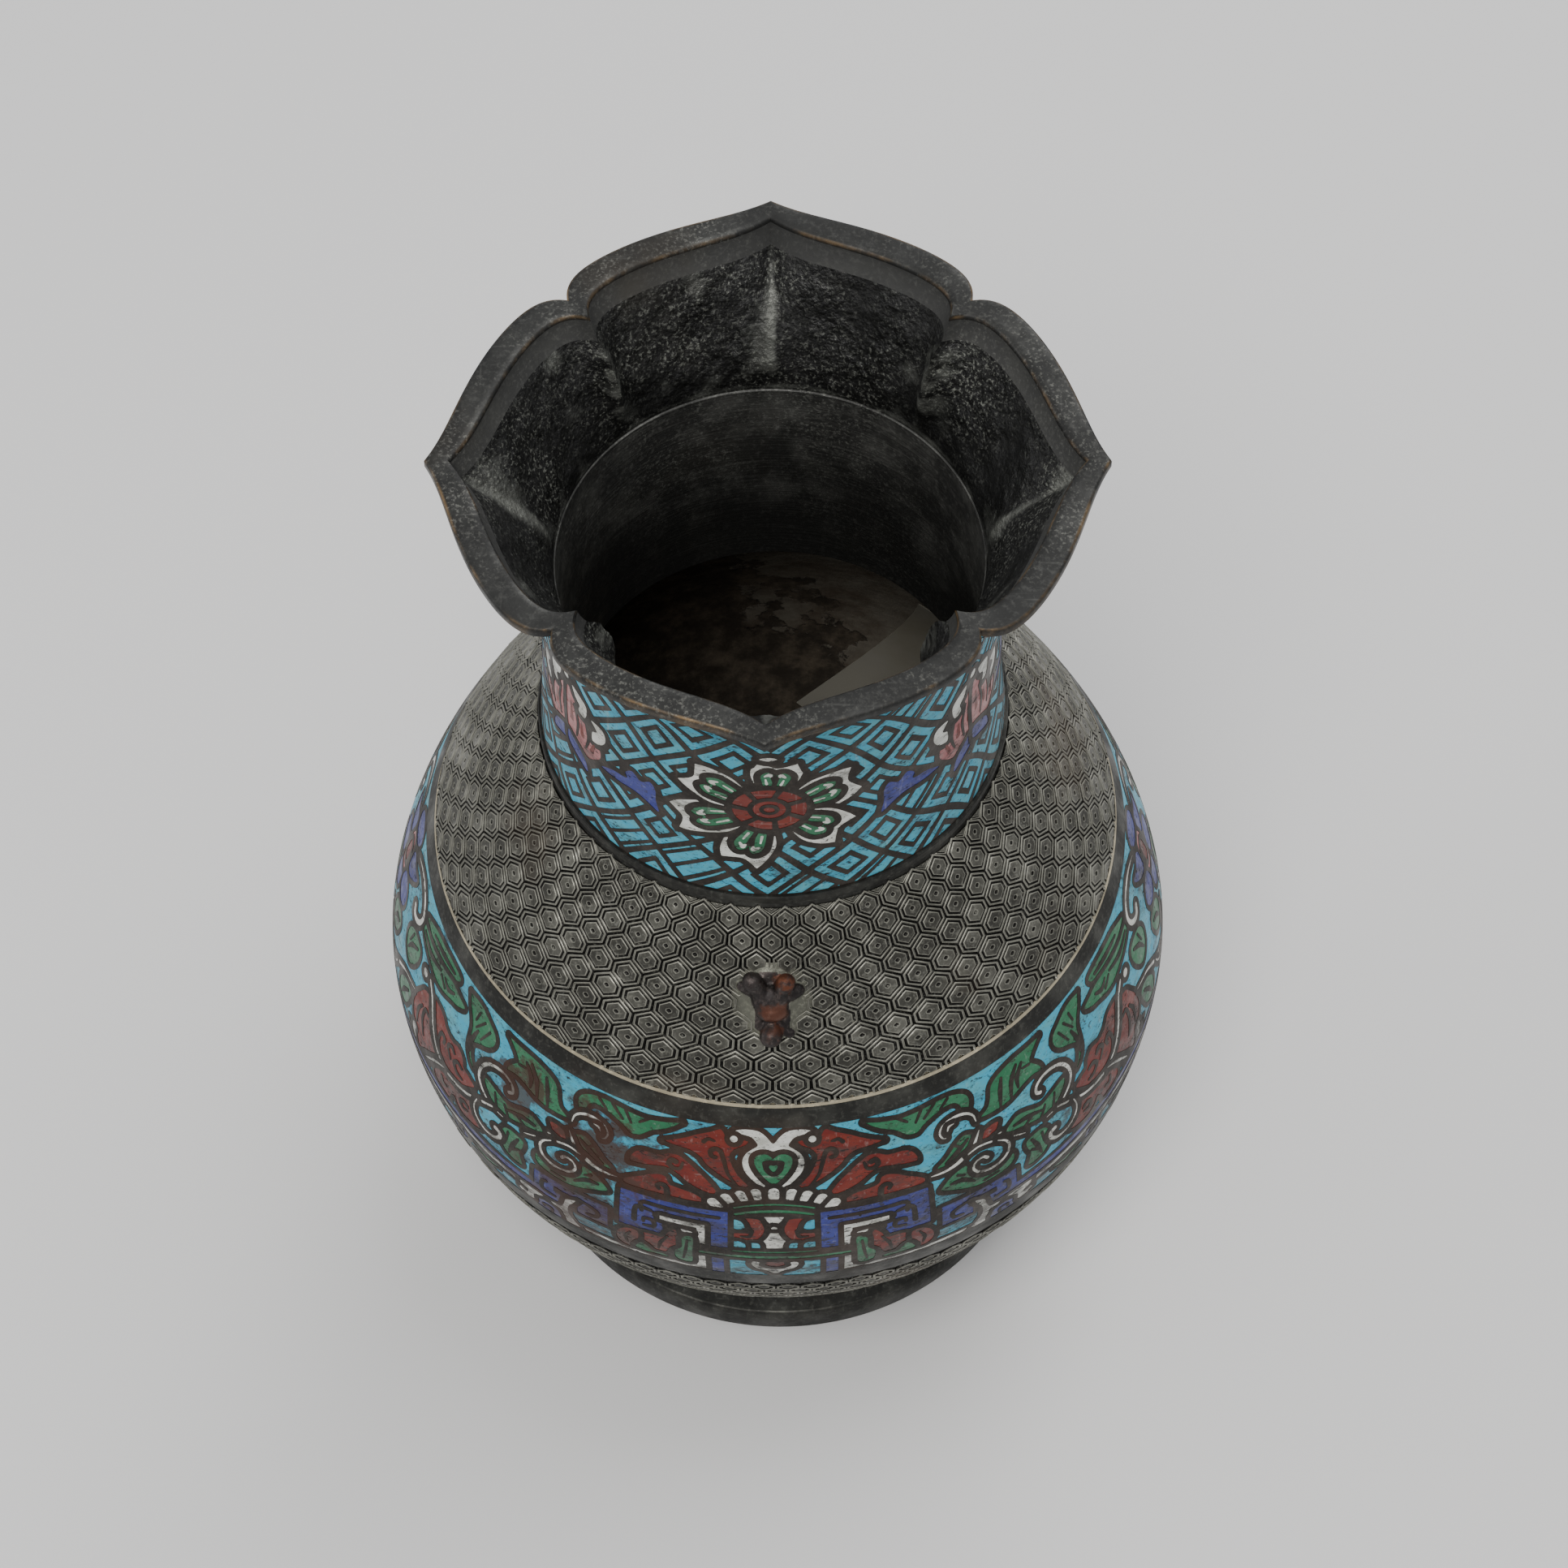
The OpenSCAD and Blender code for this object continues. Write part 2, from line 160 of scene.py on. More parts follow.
def newGroup(name, inputs, outputs):
    group = bpy.data.node_groups.new(name, "ShaderNodeTree")
    kinds = {"f": "NodeSocketFloat", "c": "NodeSocketColor", "v": "NodeSocketVector"}
    for label, (kind, value) in inputs.items():
        socket = group.interface.new_socket(label, in_out="INPUT", socket_type=kinds[kind])
        if value is not None:
            socket.default_value = value
    for label, kind in outputs.items():
        group.interface.new_socket(label, in_out="OUTPUT", socket_type=kinds[kind])
    return group, group.nodes.new("NodeGroupInput"), group.nodes.new("NodeGroupOutput")


def node(tree, kind, links=(), **values):
    made = tree.nodes.new(kind)
    for key, value in values.items():
        setattr(made, key, value)
    for socket, source in dict(links).items():
        target = made.inputs[socket]
        if isinstance(source, bpy.types.NodeSocket):
            tree.links.new(source, target)
        else:
            target.default_value = source
    return made


def noiseOf(tree, where, scale, detail=4, rough=0.55, warp=0.0):
    return node(tree, "ShaderNodeTexNoise", {"Vector": where, "Scale": scale, "Detail": detail,
        "Roughness": rough, "Distortion": warp}).outputs["Fac"]


def ramp(tree, value, low, high, start=0.0, stop=1.0):
    made = node(tree, "ShaderNodeMapRange", {"Value": value, "From Min": low, "From Max": high,
        "To Min": start, "To Max": stop})
    made.interpolation_type = "SMOOTHSTEP"
    return made.outputs["Result"]


def math2(tree, kind, a, b=0.0):
    return node(tree, "ShaderNodeMath", {0: a, 1: b}, operation=kind).outputs[0]


def blendColour(tree, share, one, two):
    made = node(tree, "ShaderNodeMix", data_type="RGBA")
    for socket, source in ((made.inputs["Factor"], share), (made.inputs["A"], one), (made.inputs["B"],
            two)):
        if isinstance(source, bpy.types.NodeSocket):
            tree.links.new(source, socket)
        else:
            socket.default_value = source
    return made.outputs["Result"]


# scattered pits: small dark spots where a fine noise runs high
def pitsGroup():
    group, given, out = newGroup("surfacePits", {"Place": ("v", None), "Scale": ("f", 900.0),
        "Amount": ("f", 0.66)}, {"Pits": "f"})
    fine = noiseOf(group, given.outputs["Place"], given.outputs["Scale"], 2, 0.6)
    patch = noiseOf(group, given.outputs["Place"], 60.0, 3)
    worn = math2(group, "ADD", fine, ramp(group, patch, 0.3, 0.8, -0.05, 0.09))
    spots = node(group, "ShaderNodeMapRange", {"Value": worn, "From Min": given.outputs["Amount"],
        "From Max": 0.73})
    group.links.new(spots.outputs["Result"], out.inputs["Pits"])
    return group


# fine crossing scratches, long noise squeezed along two directions
def scratchGroup():
    group, given, out = newGroup("fineScratches", {"Place": ("v", None), "Density": ("f", 0.62)},
        {"Scratches": "f"})
    marks = []
    for turn, squeeze in ((0.3, (60, 900, 900)), (-0.6, (1000, 80, 700)), (1.2, (900, 700, 90))):
        moved = node(group, "ShaderNodeMapping", {"Vector": given.outputs["Place"], "Rotation": (turn,
            turn * 0.7, turn), "Scale": squeeze})
        marks.append(noiseOf(group, moved.outputs["Vector"], 1.0, 2, 0.5))
    top = math2(group, "MAXIMUM", math2(group, "MAXIMUM", marks[0], marks[1]), marks[2])
    lines = node(group, "ShaderNodeMapRange", {"Value": top, "From Min": given.outputs["Density"],
        "From Max": 0.8})
    group.links.new(lines.outputs["Result"], out.inputs["Scratches"])
    return group


# old bronze: a dark skin, paler worn places and brown blotches
def patinaGroup():
    group, given, out = newGroup("oldBronze", {"Place": ("v", None), "Dark": ("c", (0.03, 0.028, 0.025,
        1)), "Worn": ("c", (0.15, 0.145, 0.12, 1)), "Rust": ("c", (0.12, 0.055, 0.03, 1)), "Wear": ("f",
        0.0), "Blotches": ("f", 0.3)}, {"Color": "c", "Roughness": "f", "Height": "f"})
    place = given.outputs["Place"]
    broad, middle, fine = noiseOf(group, place, 14, 5), noiseOf(group, place, 90, 5), noiseOf(group,
        place, 700, 3)
    worn = math2(group, "ADD", ramp(group, middle, 0.42, 0.72, 0, 0.35), ramp(group, fine, 0.5, 0.75, 0,
        0.35))
    worn = math2(group, "ADD", worn, given.outputs["Wear"])
    worn = node(group, "ShaderNodeClamp", {"Value": worn}).outputs[0]
    base = blendColour(group, worn, given.outputs["Dark"], given.outputs["Worn"])
    rust = math2(group, "MULTIPLY", ramp(group, broad, 0.56, 0.72), given.outputs["Blotches"])
    group.links.new(blendColour(group, rust, base, given.outputs["Rust"]), out.inputs["Color"])
    group.links.new(ramp(group, middle, 0.3, 0.75, 0.62, 0.38), out.inputs["Roughness"])
    group.links.new(math2(group, "ADD", math2(group, "MULTIPLY", fine, 0.6), math2(group, "MULTIPLY",
        middle, 1.2)), out.inputs["Height"])
    return group


# pale dust and chalk left in hollows
def dustGroup():
    group, given, out = newGroup("paleDust", {"Place": ("v", None), "Amount": ("f", 0.5)}, {"Dust": "f"})
    patch = noiseOf(group, given.outputs["Place"], 35, 6, 0.65)
    speck = noiseOf(group, given.outputs["Place"], 1100, 3, 0.7)
    both = math2(group, "MULTIPLY", ramp(group, patch, 0.38, 0.7), ramp(group, speck, 0.52, 0.66))
    group.links.new(math2(group, "MULTIPLY", both, given.outputs["Amount"]), out.inputs["Dust"])
    return group


# a brown burnt stain with a ragged edge round one place
def stainGroup():
    group, given, out = newGroup("brownStain", {"Place": ("v", None), "Centre": ("v", (0, 0, 0)),
        "Size": ("f", 0.015)}, {"Stain": "f"})
    away = node(group, "ShaderNodeVectorMath", {0: given.outputs["Place"], 1: given.outputs["Centre"]},
        operation="DISTANCE").outputs["Value"]
    away = math2(group, "DIVIDE", away, given.outputs["Size"])
    ragged = math2(group, "ADD", away, ramp(group, noiseOf(group, given.outputs["Place"], 130, 6, 0.65),
        0.3, 0.7, -0.7, 0.7))
    group.links.new(ramp(group, ragged, 1.25, 0.55), out.inputs["Stain"])
    return group


groups = {"stain": stainGroup(), "pits": pitsGroup(), "scratches": scratchGroup(),
    "patina": patinaGroup(), "dust": dustGroup()}


def newMaterial(name, rough=None, **sockets):
    material = bpy.data.materials.new(name)
    material.use_nodes = True
    tree = material.node_tree
    shader = tree.nodes["Principled BSDF"]
    for socket, value in sockets.items():
        shader.inputs[socket.replace("_", " ")].default_value = value
    place = node(tree, "ShaderNodeTexCoord").outputs["Object"]
    return material, tree, shader, place


def useGroup(tree, name, links):
    return node(tree, "ShaderNodeGroup", links, node_tree=groups[name])


def raiseSurface(tree, shader, height, strength, distance):
    bump = node(tree, "ShaderNodeBump", {"Height": height, "Strength": strength, "Distance": distance})
    tree.links.new(bump.outputs["Normal"], shader.inputs["Normal"])


# the burnt places on the belly: where, how far they reach, how strong
burnt = [((-0.066, -0.073, 0.141), 0.009, 0.85), ((-0.043, -0.092, 0.137), 0.0125, 0.9), ((-0.052, -0.092,
    0.106), 0.018, 0.6), ((0.071, 0.068, 0.128), 0.013, 0.8)]
# where the front boss is rubbed to copper
rubbedSpots = [((0.0035, -0.0735, 0.193), 0.0034, 0.9), ((0.001, -0.0785, 0.1857), 0.0032, 0.6),
    ((0, -0.0815, 0.18), 0.0028, 0.5)]


def stained(tree, place, colour, brown, spots):
    for centre, size, strength in spots:
        stain = useGroup(tree, "stain", {"Place": place, "Centre": centre, "Size": size}).outputs["Stain"]
        colour = blendColour(tree, math2(tree, "MULTIPLY", stain, strength), colour, brown)
    return colour


# cast bronze; with relief, wear follows the piece's rise attribute, about 1 on what stands proud; above 1
# it is painted highlight
def bronzeMaterial(name, dark, worn, rust, blotches=0.3, dust=0.0, dustColour=(0.42, 0.42, 0.38, 1),
        relief=False, bump=0.25, distance=0.0006, metallic=0.75, wear=0.0, spots=(), spotColour=(0.045,
        0.017, 0.009, 1), brassWearAndGlint=False):
    material, tree, shader, place = newMaterial(name, Metallic=metallic)
    links = {"Place": place, "Dark": dark, "Worn": worn, "Rust": rust, "Blotches": blotches, "Wear": wear}
    if relief:
        rise = node(tree, "ShaderNodeAttribute", attribute_name="rise").outputs["Fac"]
        links["Wear"] = ramp(tree, rise, 0.0, 1.3, -0.75, 0.95)
    skin = useGroup(tree, "patina", links)
    scratches = useGroup(tree, "scratches", {"Place": place, "Density": 0.66}).outputs["Scratches"]
    colour = blendColour(tree, math2(tree, "MULTIPLY", scratches, 0.5), skin.outputs["Color"], worn)
    if dust:
        powder = useGroup(tree, "dust", {"Place": place, "Amount": dust}).outputs["Dust"]
        colour = blendColour(tree, powder, colour, dustColour)
        tree.links.new(math2(tree, "ADD", skin.outputs["Roughness"], math2(tree, "MULTIPLY", powder,
            0.4)), shader.inputs["Roughness"])
    else:
        tree.links.new(skin.outputs["Roughness"], shader.inputs["Roughness"])
    colour = stained(tree, place, colour, spotColour, spots)
    # brass on the lip's edges: real wear along the rim, and painted glint at the tips and notches
    if brassWearAndGlint:
        edge = node(tree, "ShaderNodeAttribute", attribute_name="edge").outputs["Fac"]
        rubAndGlint = math2(tree, "MULTIPLY", edge, ramp(tree, noiseOf(tree, place, 70, 5, 0.65), 0.45, 0.7))
        colour = blendColour(tree, rubAndGlint, colour, (0.3, 0.19, 0.085, 1))
    tree.links.new(colour, shader.inputs["Base Color"])
    raiseSurface(tree, shader, skin.outputs["Height"], bump, distance)
    return material


# fired enamel: a cloudy colour, black pits and worn places, fine scratches and a dulled polish, with
# painted shade that darkens the lower belly band
def enamelMaterial(name, colour, cloud, pitAmount=0.6):
    material, tree, shader, place = newMaterial(name, IOR=1.5)
    shader.inputs["Specular IOR Level"].default_value = 0.27
    level = node(tree, "ShaderNodeMapping", {"Vector": place, "Scale": (1, 1, 2.2)}).outputs["Vector"]
    cloudy = ramp(tree, noiseOf(tree, level, 130, 6, 0.65), 0.35, 0.7)
    pits = useGroup(tree, "pits", {"Place": level, "Scale": 700.0, "Amount": pitAmount}).outputs["Pits"]
    scratches = useGroup(tree, "scratches", {"Place": place, "Density": 0.64}).outputs["Scratches"]
    height = node(tree, "ShaderNodeSeparateXYZ", {0: place}).outputs["Z"]
    # painted shade: the dark dirt and the dark chips grow towards the bottom of the belly band, where less
    # light falls
    lower = ramp(tree, height, 0.145, 0.1, 0.0, 0.07)
    dirtAndLowShade = ramp(tree, math2(tree, "ADD", noiseOf(tree, level, 60, 9, 0.8), lower), 0.47, 0.7, 0.0, 0.9)
    paint = blendColour(tree, cloudy, colour, cloud)
    paint = blendColour(tree, math2(tree, "MULTIPLY", scratches, 0.22), paint, (0.45, 0.45, 0.42, 1))
    paint = blendColour(tree, dirtAndLowShade, paint, (0.035, 0.03, 0.026, 1))
    chipsAndLowShade = math2(tree, "ADD", noiseOf(tree, level, 340, 7, 0.8), math2(tree, "MULTIPLY", lower, 0.5))
    paint = blendColour(tree, ramp(tree, chipsAndLowShade, 0.565, 0.62, 0.0, 0.9), paint, (0.018, 0.016, 0.014, 1))
    paint = blendColour(tree, pits, paint, (0.012, 0.011, 0.01, 1))
    paint = stained(tree, place, paint, (0.04, 0.017, 0.01, 1), burnt)
    tree.links.new(paint, shader.inputs["Base Color"])
    rough = math2(tree, "ADD", ramp(tree, noiseOf(tree, place, 220, 4), 0.3, 0.7, 0.3, 0.5), math2(tree,
        "MULTIPLY", pits, 0.35))
    tree.links.new(rough, shader.inputs["Roughness"])
    raiseSurface(tree, shader, math2(tree, "SUBTRACT", noiseOf(tree, place, 160, 3), math2(tree,
        "MULTIPLY", pits, 1.5)), 0.35, 0.00035)
    return material


bronzeSkin = bronzeMaterial("bronzeSkin", (0.02, 0.02, 0.018, 1), (0.11, 0.11, 0.095, 1), (0.07, 0.045,
    0.03, 1), blotches=0.3)
bronzeRelief = bronzeMaterial("bronzeRelief", (0.007, 0.0065, 0.0055, 1), (0.26, 0.255, 0.215, 1), (0.1,
    0.065, 0.04, 1), blotches=0.35, dust=0.3, relief=True)
bronzeLines = bronzeMaterial("bronzeLines", (0.018, 0.014, 0.011, 1), (0.075, 0.06, 0.048, 1), (0.07,
    0.032, 0.018, 1), blotches=0.5, metallic=0.6, spots=burnt)
bronzeRim = bronzeMaterial("bronzeRim", (0.024, 0.024, 0.023, 1), (0.08, 0.08, 0.074, 1), (0.06, 0.045,
    0.03, 1), blotches=0.3, dust=0.3, dustColour=(0.36, 0.36, 0.32, 1), bump=0.2, brassWearAndGlint=True)
# the lip's inner bevel: smoother bronze, its paler colour a painted sheen
bronzeBevelSheen = bronzeMaterial("bronzeBevelSheen", (0.045, 0.045, 0.043, 1), (0.1, 0.1, 0.093, 1), (0.06, 0.05,
    0.035, 1), blotches=0.4, dust=0.2, dustColour=(0.36, 0.36, 0.32, 1), bump=0.15, metallic=0.3)
bronzeRough = bronzeMaterial("bronzeRough", (0.011, 0.011, 0.0105, 1), (0.12, 0.123, 0.11, 1), (0.05,
    0.045, 0.032, 1), blotches=0.3, dust=0.42, dustColour=(0.38, 0.39, 0.34, 1), bump=0.8,
    distance=0.0012, metallic=0.5, relief=True)
bronzeBoss = bronzeMaterial("bronzeBoss", (0.016, 0.013, 0.013, 1), (0.14, 0.11, 0.1, 1), (0.2, 0.05,
    0.022, 1), blotches=1.0, dust=0.2, bump=0.35, metallic=0.7, spots=rubbedSpots, spotColour=(0.13,
    0.042, 0.02, 1))
bossPad = bronzeMaterial("bossPad", (0.035, 0.035, 0.028, 1), (0.2, 0.2, 0.155, 1), (0.12, 0.09, 0.05, 1),
    blotches=0.3, dust=0.6, dustColour=(0.42, 0.42, 0.34, 1), wear=0.25, bump=0.7, metallic=0.4)
solderGrey = bronzeMaterial("solderGrey", (0.09, 0.09, 0.085, 1), (0.3, 0.3, 0.28, 1), (0.1, 0.08, 0.06,
    1), blotches=0.4, metallic=0.6)
wornLedge = bronzeMaterial("wornLedge", (0.1, 0.085, 0.055, 1), (0.5, 0.44, 0.31, 1), (0.13, 0.08, 0.04,
    1), blotches=0.3, metallic=0.3, wear=0.45, bump=0.6)


# the unworked inside: black scale, with a paler crust over one part of the back wall
def innerMaterial():
    material, tree, shader, place = newMaterial("innerCrust", Metallic=0.1)
    split = node(tree, "ShaderNodeSeparateXYZ", {0: place})
    lean = math2(tree, "ADD", split.outputs["X"], math2(tree, "MULTIPLY", split.outputs["Z"], 0.25))
    ragged = math2(tree, "ADD", lean, ramp(tree, noiseOf(tree, place, 42, 8, 0.6), 0.3, 0.7, -0.02, 0.02))
    crust = math2(tree, "MULTIPLY", ramp(tree, ragged, 0.034, 0.037), ramp(tree, split.outputs["Y"], 0.02,
        0.05))
    scale = blendColour(tree, ramp(tree, noiseOf(tree, place, 120, 7, 0.7), 0.4, 0.72), (0.035, 0.028,
        0.02, 1), (0.13, 0.105, 0.075, 1))
    paler = blendColour(tree, ramp(tree, noiseOf(tree, place, 75, 7, 0.7), 0.35, 0.7), (0.17, 0.155,
        0.125, 1), (0.085, 0.065, 0.045, 1))
    tree.links.new(blendColour(tree, crust, scale, paler), shader.inputs["Base Color"])
    shader.inputs["Roughness"].default_value = 0.8
    raiseSurface(tree, shader, math2(tree, "ADD", noiseOf(tree, place, 190, 6), crust), 0.7, 0.001)
    return material


# the throat turned smooth, with fine rings left by the tool, and painted shade that darkens it deeper down
def boreMaterial():
    material, tree, shader, place = newMaterial("bronzeBore", Metallic=0.35)
    rings = noiseOf(tree, node(tree, "ShaderNodeMapping", {"Vector": place, "Scale": (35, 35,
        1500)}).outputs["Vector"], 1.0, 4, 0.6)
    skin = useGroup(tree, "patina", {"Place": place, "Dark": (0.032, 0.032, 0.03, 1), "Worn": (0.2, 0.2,
        0.185, 1), "Rust": (0.05, 0.045, 0.03, 1), "Blotches": 0.3, "Wear": 0.0})
    powder = useGroup(tree, "dust", {"Place": place, "Amount": 0.4}).outputs["Dust"]
    colour = blendColour(tree, ramp(tree, rings, 0.5, 0.8, 0, 0.4), skin.outputs["Color"], (0.17, 0.17,
        0.155, 1))
    colour = blendColour(tree, powder, colour, (0.36, 0.37, 0.33, 1))
    # painted shade: the bore fades to near black below the mouth, as less light reaches down the throat
    height = node(tree, "ShaderNodeSeparateXYZ", {0: place}).outputs["Z"]
    paintedDepthShade = ramp(tree, math2(tree, "ADD", height, ramp(tree, noiseOf(tree, place, 45, 4), 0.3, 0.7, -0.012,
        0.012)), 0.268, 0.215, 0.0, 0.8)
    colour = blendColour(tree, paintedDepthShade, colour, (0.006, 0.006, 0.0055, 1))
    tree.links.new(colour, shader.inputs["Base Color"])
    tree.links.new(skin.outputs["Roughness"], shader.inputs["Roughness"])
    raiseSurface(tree, shader, math2(tree, "ADD", math2(tree, "MULTIPLY", rings, 1.2),
        skin.outputs["Height"]), 0.35, 0.0005)
    return material


innerCrust, bronzeBore = innerMaterial(), boreMaterial()
enamels = {"turquoise": enamelMaterial("turquoiseEnamel", (0.028, 0.3, 0.44, 1), (0.07, 0.3, 0.36, 1),
    0.6), "white": enamelMaterial("whiteEnamel", (0.62, 0.62, 0.58, 1), (0.36, 0.36, 0.32, 1), 0.62),
    "green": enamelMaterial("greenEnamel", (0.012, 0.12, 0.05, 1), (0.03, 0.145, 0.07, 1), 0.61),
    "red": enamelMaterial("redEnamel", (0.11, 0.008, 0.005, 1), (0.15, 0.02, 0.011, 1), 0.62),
    "blue": enamelMaterial("blueEnamel", (0.017, 0.024, 0.17, 1), (0.035, 0.045, 0.22, 1), 0.61),
    "pink": enamelMaterial("pinkEnamel", (0.3, 0.08, 0.085, 1), (0.4, 0.2, 0.19, 1), 0.61)}


def paperMaterial():
    material, tree, shader, place = newMaterial("agedPaper", Roughness=0.9)
    stain = ramp(tree, noiseOf(tree, place, 30, 5), 0.35, 0.75)
    tree.links.new(blendColour(tree, stain, (0.24, 0.23, 0.195, 1), (0.18, 0.165, 0.125, 1)),
        shader.inputs["Base Color"])
    raiseSurface(tree, shader, noiseOf(tree, place, 600, 4), 0.3, 0.0002)
    return material


agedPaper = paperMaterial()
print("materials made")


# Enamel and its metal lines. A sheet is the unrolled skin in millimetres: u runs to the right
# from the middle of a motif, v runs down. Each colour has a field, positive inside it; a shape
# laid later pushes the earlier ones back by one metal line.
gridStep = 0.3
veinWidth = 1.4          # how much wider a bare metal vein comes out than it is drawn


def newSheet(width, height, line, ground="turquoise"):
    cols, rows = round(width / gridStep) + 1, round(height / gridStep) + 1
    us, vs = np.linspace(0, width, cols), np.linspace(0, height, rows)
    names = ["turquoise", "white", "green", "red", "blue", "pink"]
    fields = {name: np.full((rows, cols), 20.0 if name == ground else -20.0) for name in names}
    return {"us": us, "vs": vs, "fields": fields, "line": line}


def curved(points, closed=True, bends=5):
    count = len(points)
    if count < 3:
        return [tuple(p) for p in points]
    out = []
    for i in range(count if closed else count - 1):
        ring = [points[(i + k) % count] if closed else points[min(max(i + k, 0), count - 1)] for k in (-1,
            0, 1, 2)]
        p0, p1, p2, p3 = [np.array(p, float) for p in ring]
        for k in range(bends):
            t = k / bends
            out.append(tuple(0.5 * (2 * p1 + (p2 - p0) * t + (2 * p0 - 5 * p1 + 4 * p2 - p3) * t ** 2
                + (3 * p1 - p0 - 3 * p2 + p3) * t ** 3)))
    return out if closed else out + [tuple(float(x) for x in points[-1])]


def window(sheet, points, margin):
    us, vs = sheet["us"], sheet["vs"]
    u, v = [p[0] for p in points], [p[1] for p in points]
    a, b = np.searchsorted(us, [min(u) - margin, max(u) + margin])
    c, d = np.searchsorted(vs, [min(v) - margin, max(v) + margin])
    return (slice(c, d), slice(a, b)), *np.meshgrid(us[a:b], vs[c:d])


def toSegments(points, closed, gridU, gridV, widths=None):
    best = np.full(gridU.shape, 1e9)
    count = len(points)
    for i in range(count if closed else count - 1):
        (au, av), (bu, bv) = points[i], points[(i + 1) % count]
        du, dv = bu - au, bv - av
        size = du * du + dv * dv
        if size < 1e-12:
            continue
        t = np.clip(((gridU - au) * du + (gridV - av) * dv) / size, 0, 1)
        away = np.hypot(gridU - au - t * du, gridV - av - t * dv)
        if widths:
            away = away - (widths[i] + (widths[i + 1] - widths[i]) * t) / 2
        best = np.minimum(best, away)
    return best


def within(points, gridU, gridV):
    inside = np.zeros(gridU.shape, bool)
    count = len(points)
    for i in range(count):
        (au, av), (bu, bv) = points[i], points[(i + 1) % count]
        if av != bv:
            cross = (av > gridV) != (bv > gridV)
            inside ^= cross & (gridU < (bu - au) * (gridV - av) / (bv - av) + au)
    return inside


def lay(sheet, area, depth, colour, gap=None):
    gap = (sheet["line"] if colour else 0) if gap is None else gap
    for field in sheet["fields"].values():
        field[area] = np.minimum(field[area], -depth - gap)
    if colour:
        field = sheet["fields"][colour]
        field[area] = np.maximum(field[area], depth)


# a filled outline; corners keeps its straight sides
def fill(sheet, colour, points, corners=False):
    outline = points if corners else curved(points)
    area, gridU, gridV = window(sheet, outline, sheet["line"] + 0.5)
    if gridU.size:
        depth = toSegments(outline, True, gridU, gridV)
        lay(sheet, area, np.where(within(outline, gridU, gridV), depth, -depth), colour)


# a stroke whose width runs through the given widths; with no colour it is bare metal
def stroke(sheet, colour, points, *widths, gap=None):
    line = curved(points, closed=False)
    spots = np.linspace(0, len(widths) - 1, len(line))
    swell = list(np.interp(spots, range(len(widths)), widths) * (1 if colour else veinWidth))
    area, gridU, gridV = window(sheet, line, max(widths) + sheet["line"] + 0.5)
    if gridU.size:
        lay(sheet, area, -toSegments(line, False, gridU, gridV, swell), colour, gap)


def dot(sheet, colour, u, v, radius):
    stroke(sheet, colour, [(u, v), (u + 0.01, v)], 2 * radius, 2 * radius)


# the right half of an outline that starts and ends on a line of symmetry, made whole
def whole(points, middle=0):
    return points + [(2 * middle - u, v) for u, v in reversed(points) if abs(u - middle) > 1e-6]


# the outlines where a field changes sign: crossing points on the grid's edges, and segments
def contour(field, us, vs):
    rows, cols = field.shape
    field = np.where(np.abs(field) < 1e-4, 1e-4, field)
    sign = field > 0
    acrossIds = -np.ones((rows, cols - 1), int)
    downIds = -np.ones((rows - 1, cols), int)
    r, c = np.nonzero(sign[:, 1:] != sign[:, :-1])
    t = field[r, c] / (field[r, c] - field[r, c + 1])
    points = np.stack([us[c] + t * (us[c + 1] - us[c]), vs[r]], 1)
    acrossIds[r, c] = np.arange(len(r))
    r2, c2 = np.nonzero(sign[1:] != sign[:-1])
    t = field[r2, c2] / (field[r2, c2] - field[r2 + 1, c2])
    downIds[r2, c2] = len(points) + np.arange(len(r2))
    points = np.concatenate([points, np.stack([us[c2], vs[r2] + t * (vs[r2 + 1] - vs[r2])], 1)])
    code = (sign[:-1, :-1] * 1 + sign[:-1, 1:] * 2 + sign[1:, 1:] * 4 + sign[1:, :-1] * 8)
    top, bottom = acrossIds[:-1], acrossIds[1:]
    left, right = downIds[:, :-1], downIds[:, 1:]
    sides = {1: [(left, top)], 2: [(top, right)], 4: [(right, bottom)], 8: [(bottom, left)], 3: [(left,
        right)], 6: [(top, bottom)], 12: [(right, left)], 9: [(bottom, top)], 7: [(left, bottom)],
        11: [(bottom, right)], 13: [(right, top)], 14: [(top, left)], 5: [(left, top), (right, bottom)],
        10: [(top, right), (bottom, left)]}
    pairs = []
    for case, ends in sides.items():
        hit = np.nonzero(code == case)
        for a, b in ends:
            pairs.append(np.stack([a[hit], b[hit]], 1))
    return points, np.concatenate(pairs)


# joins segments into chains and drops the points that a straight line can do without
def thinned(points, pairs, slack=0.035, longest=2.5):
    links = {}
    for a, b in pairs.tolist():
        links.setdefault(a, []).append(b)
        links.setdefault(b, []).append(a)
    ends = [k for k, near in links.items() if len(near) != 2]
    seen, chains = set(), []
    for start in ends + list(links):
        for follow in links[start]:
            if (start, follow) in seen:
                continue
            chain, before, here = [start, follow], start, follow
            seen.update([(start, follow), (follow, start)])
            while here != start and len(links[here]) == 2:
                after = links[here][0] if links[here][0] != before else links[here][1]
                if (here, after) in seen:
                    break
                seen.update([(here, after), (after, here)])
                chain.append(after)
                before, here = here, after
            chains.append(chain)
    kept = []
    for chain in chains:
        if len(chain) < 5 and chain[0] == chain[-1]:
            continue
        out, i = [chain[0]], 0
        while i < len(chain) - 1:
            j = i + 1
            while j + 1 < len(chain):
                a, b = points[chain[i]], points[chain[j + 1]]
                size = math.hypot(b[0] - a[0], b[1] - a[1])
                if size > longest or size < 1e-9:
                    break
                mid = points[chain[i + 1:j + 1]]
                off = np.abs((b[0] - a[0]) * (mid[:, 1] - a[1]) - (b[1] - a[1]) * (mid[:, 0]
                    - a[0])) / size
                if off.max() > slack:
                    break
                j += 1
            out.append(chain[j])
            i = j
        kept += [(a, b) for a, b in zip(out, out[1:]) if a != b]
    return kept


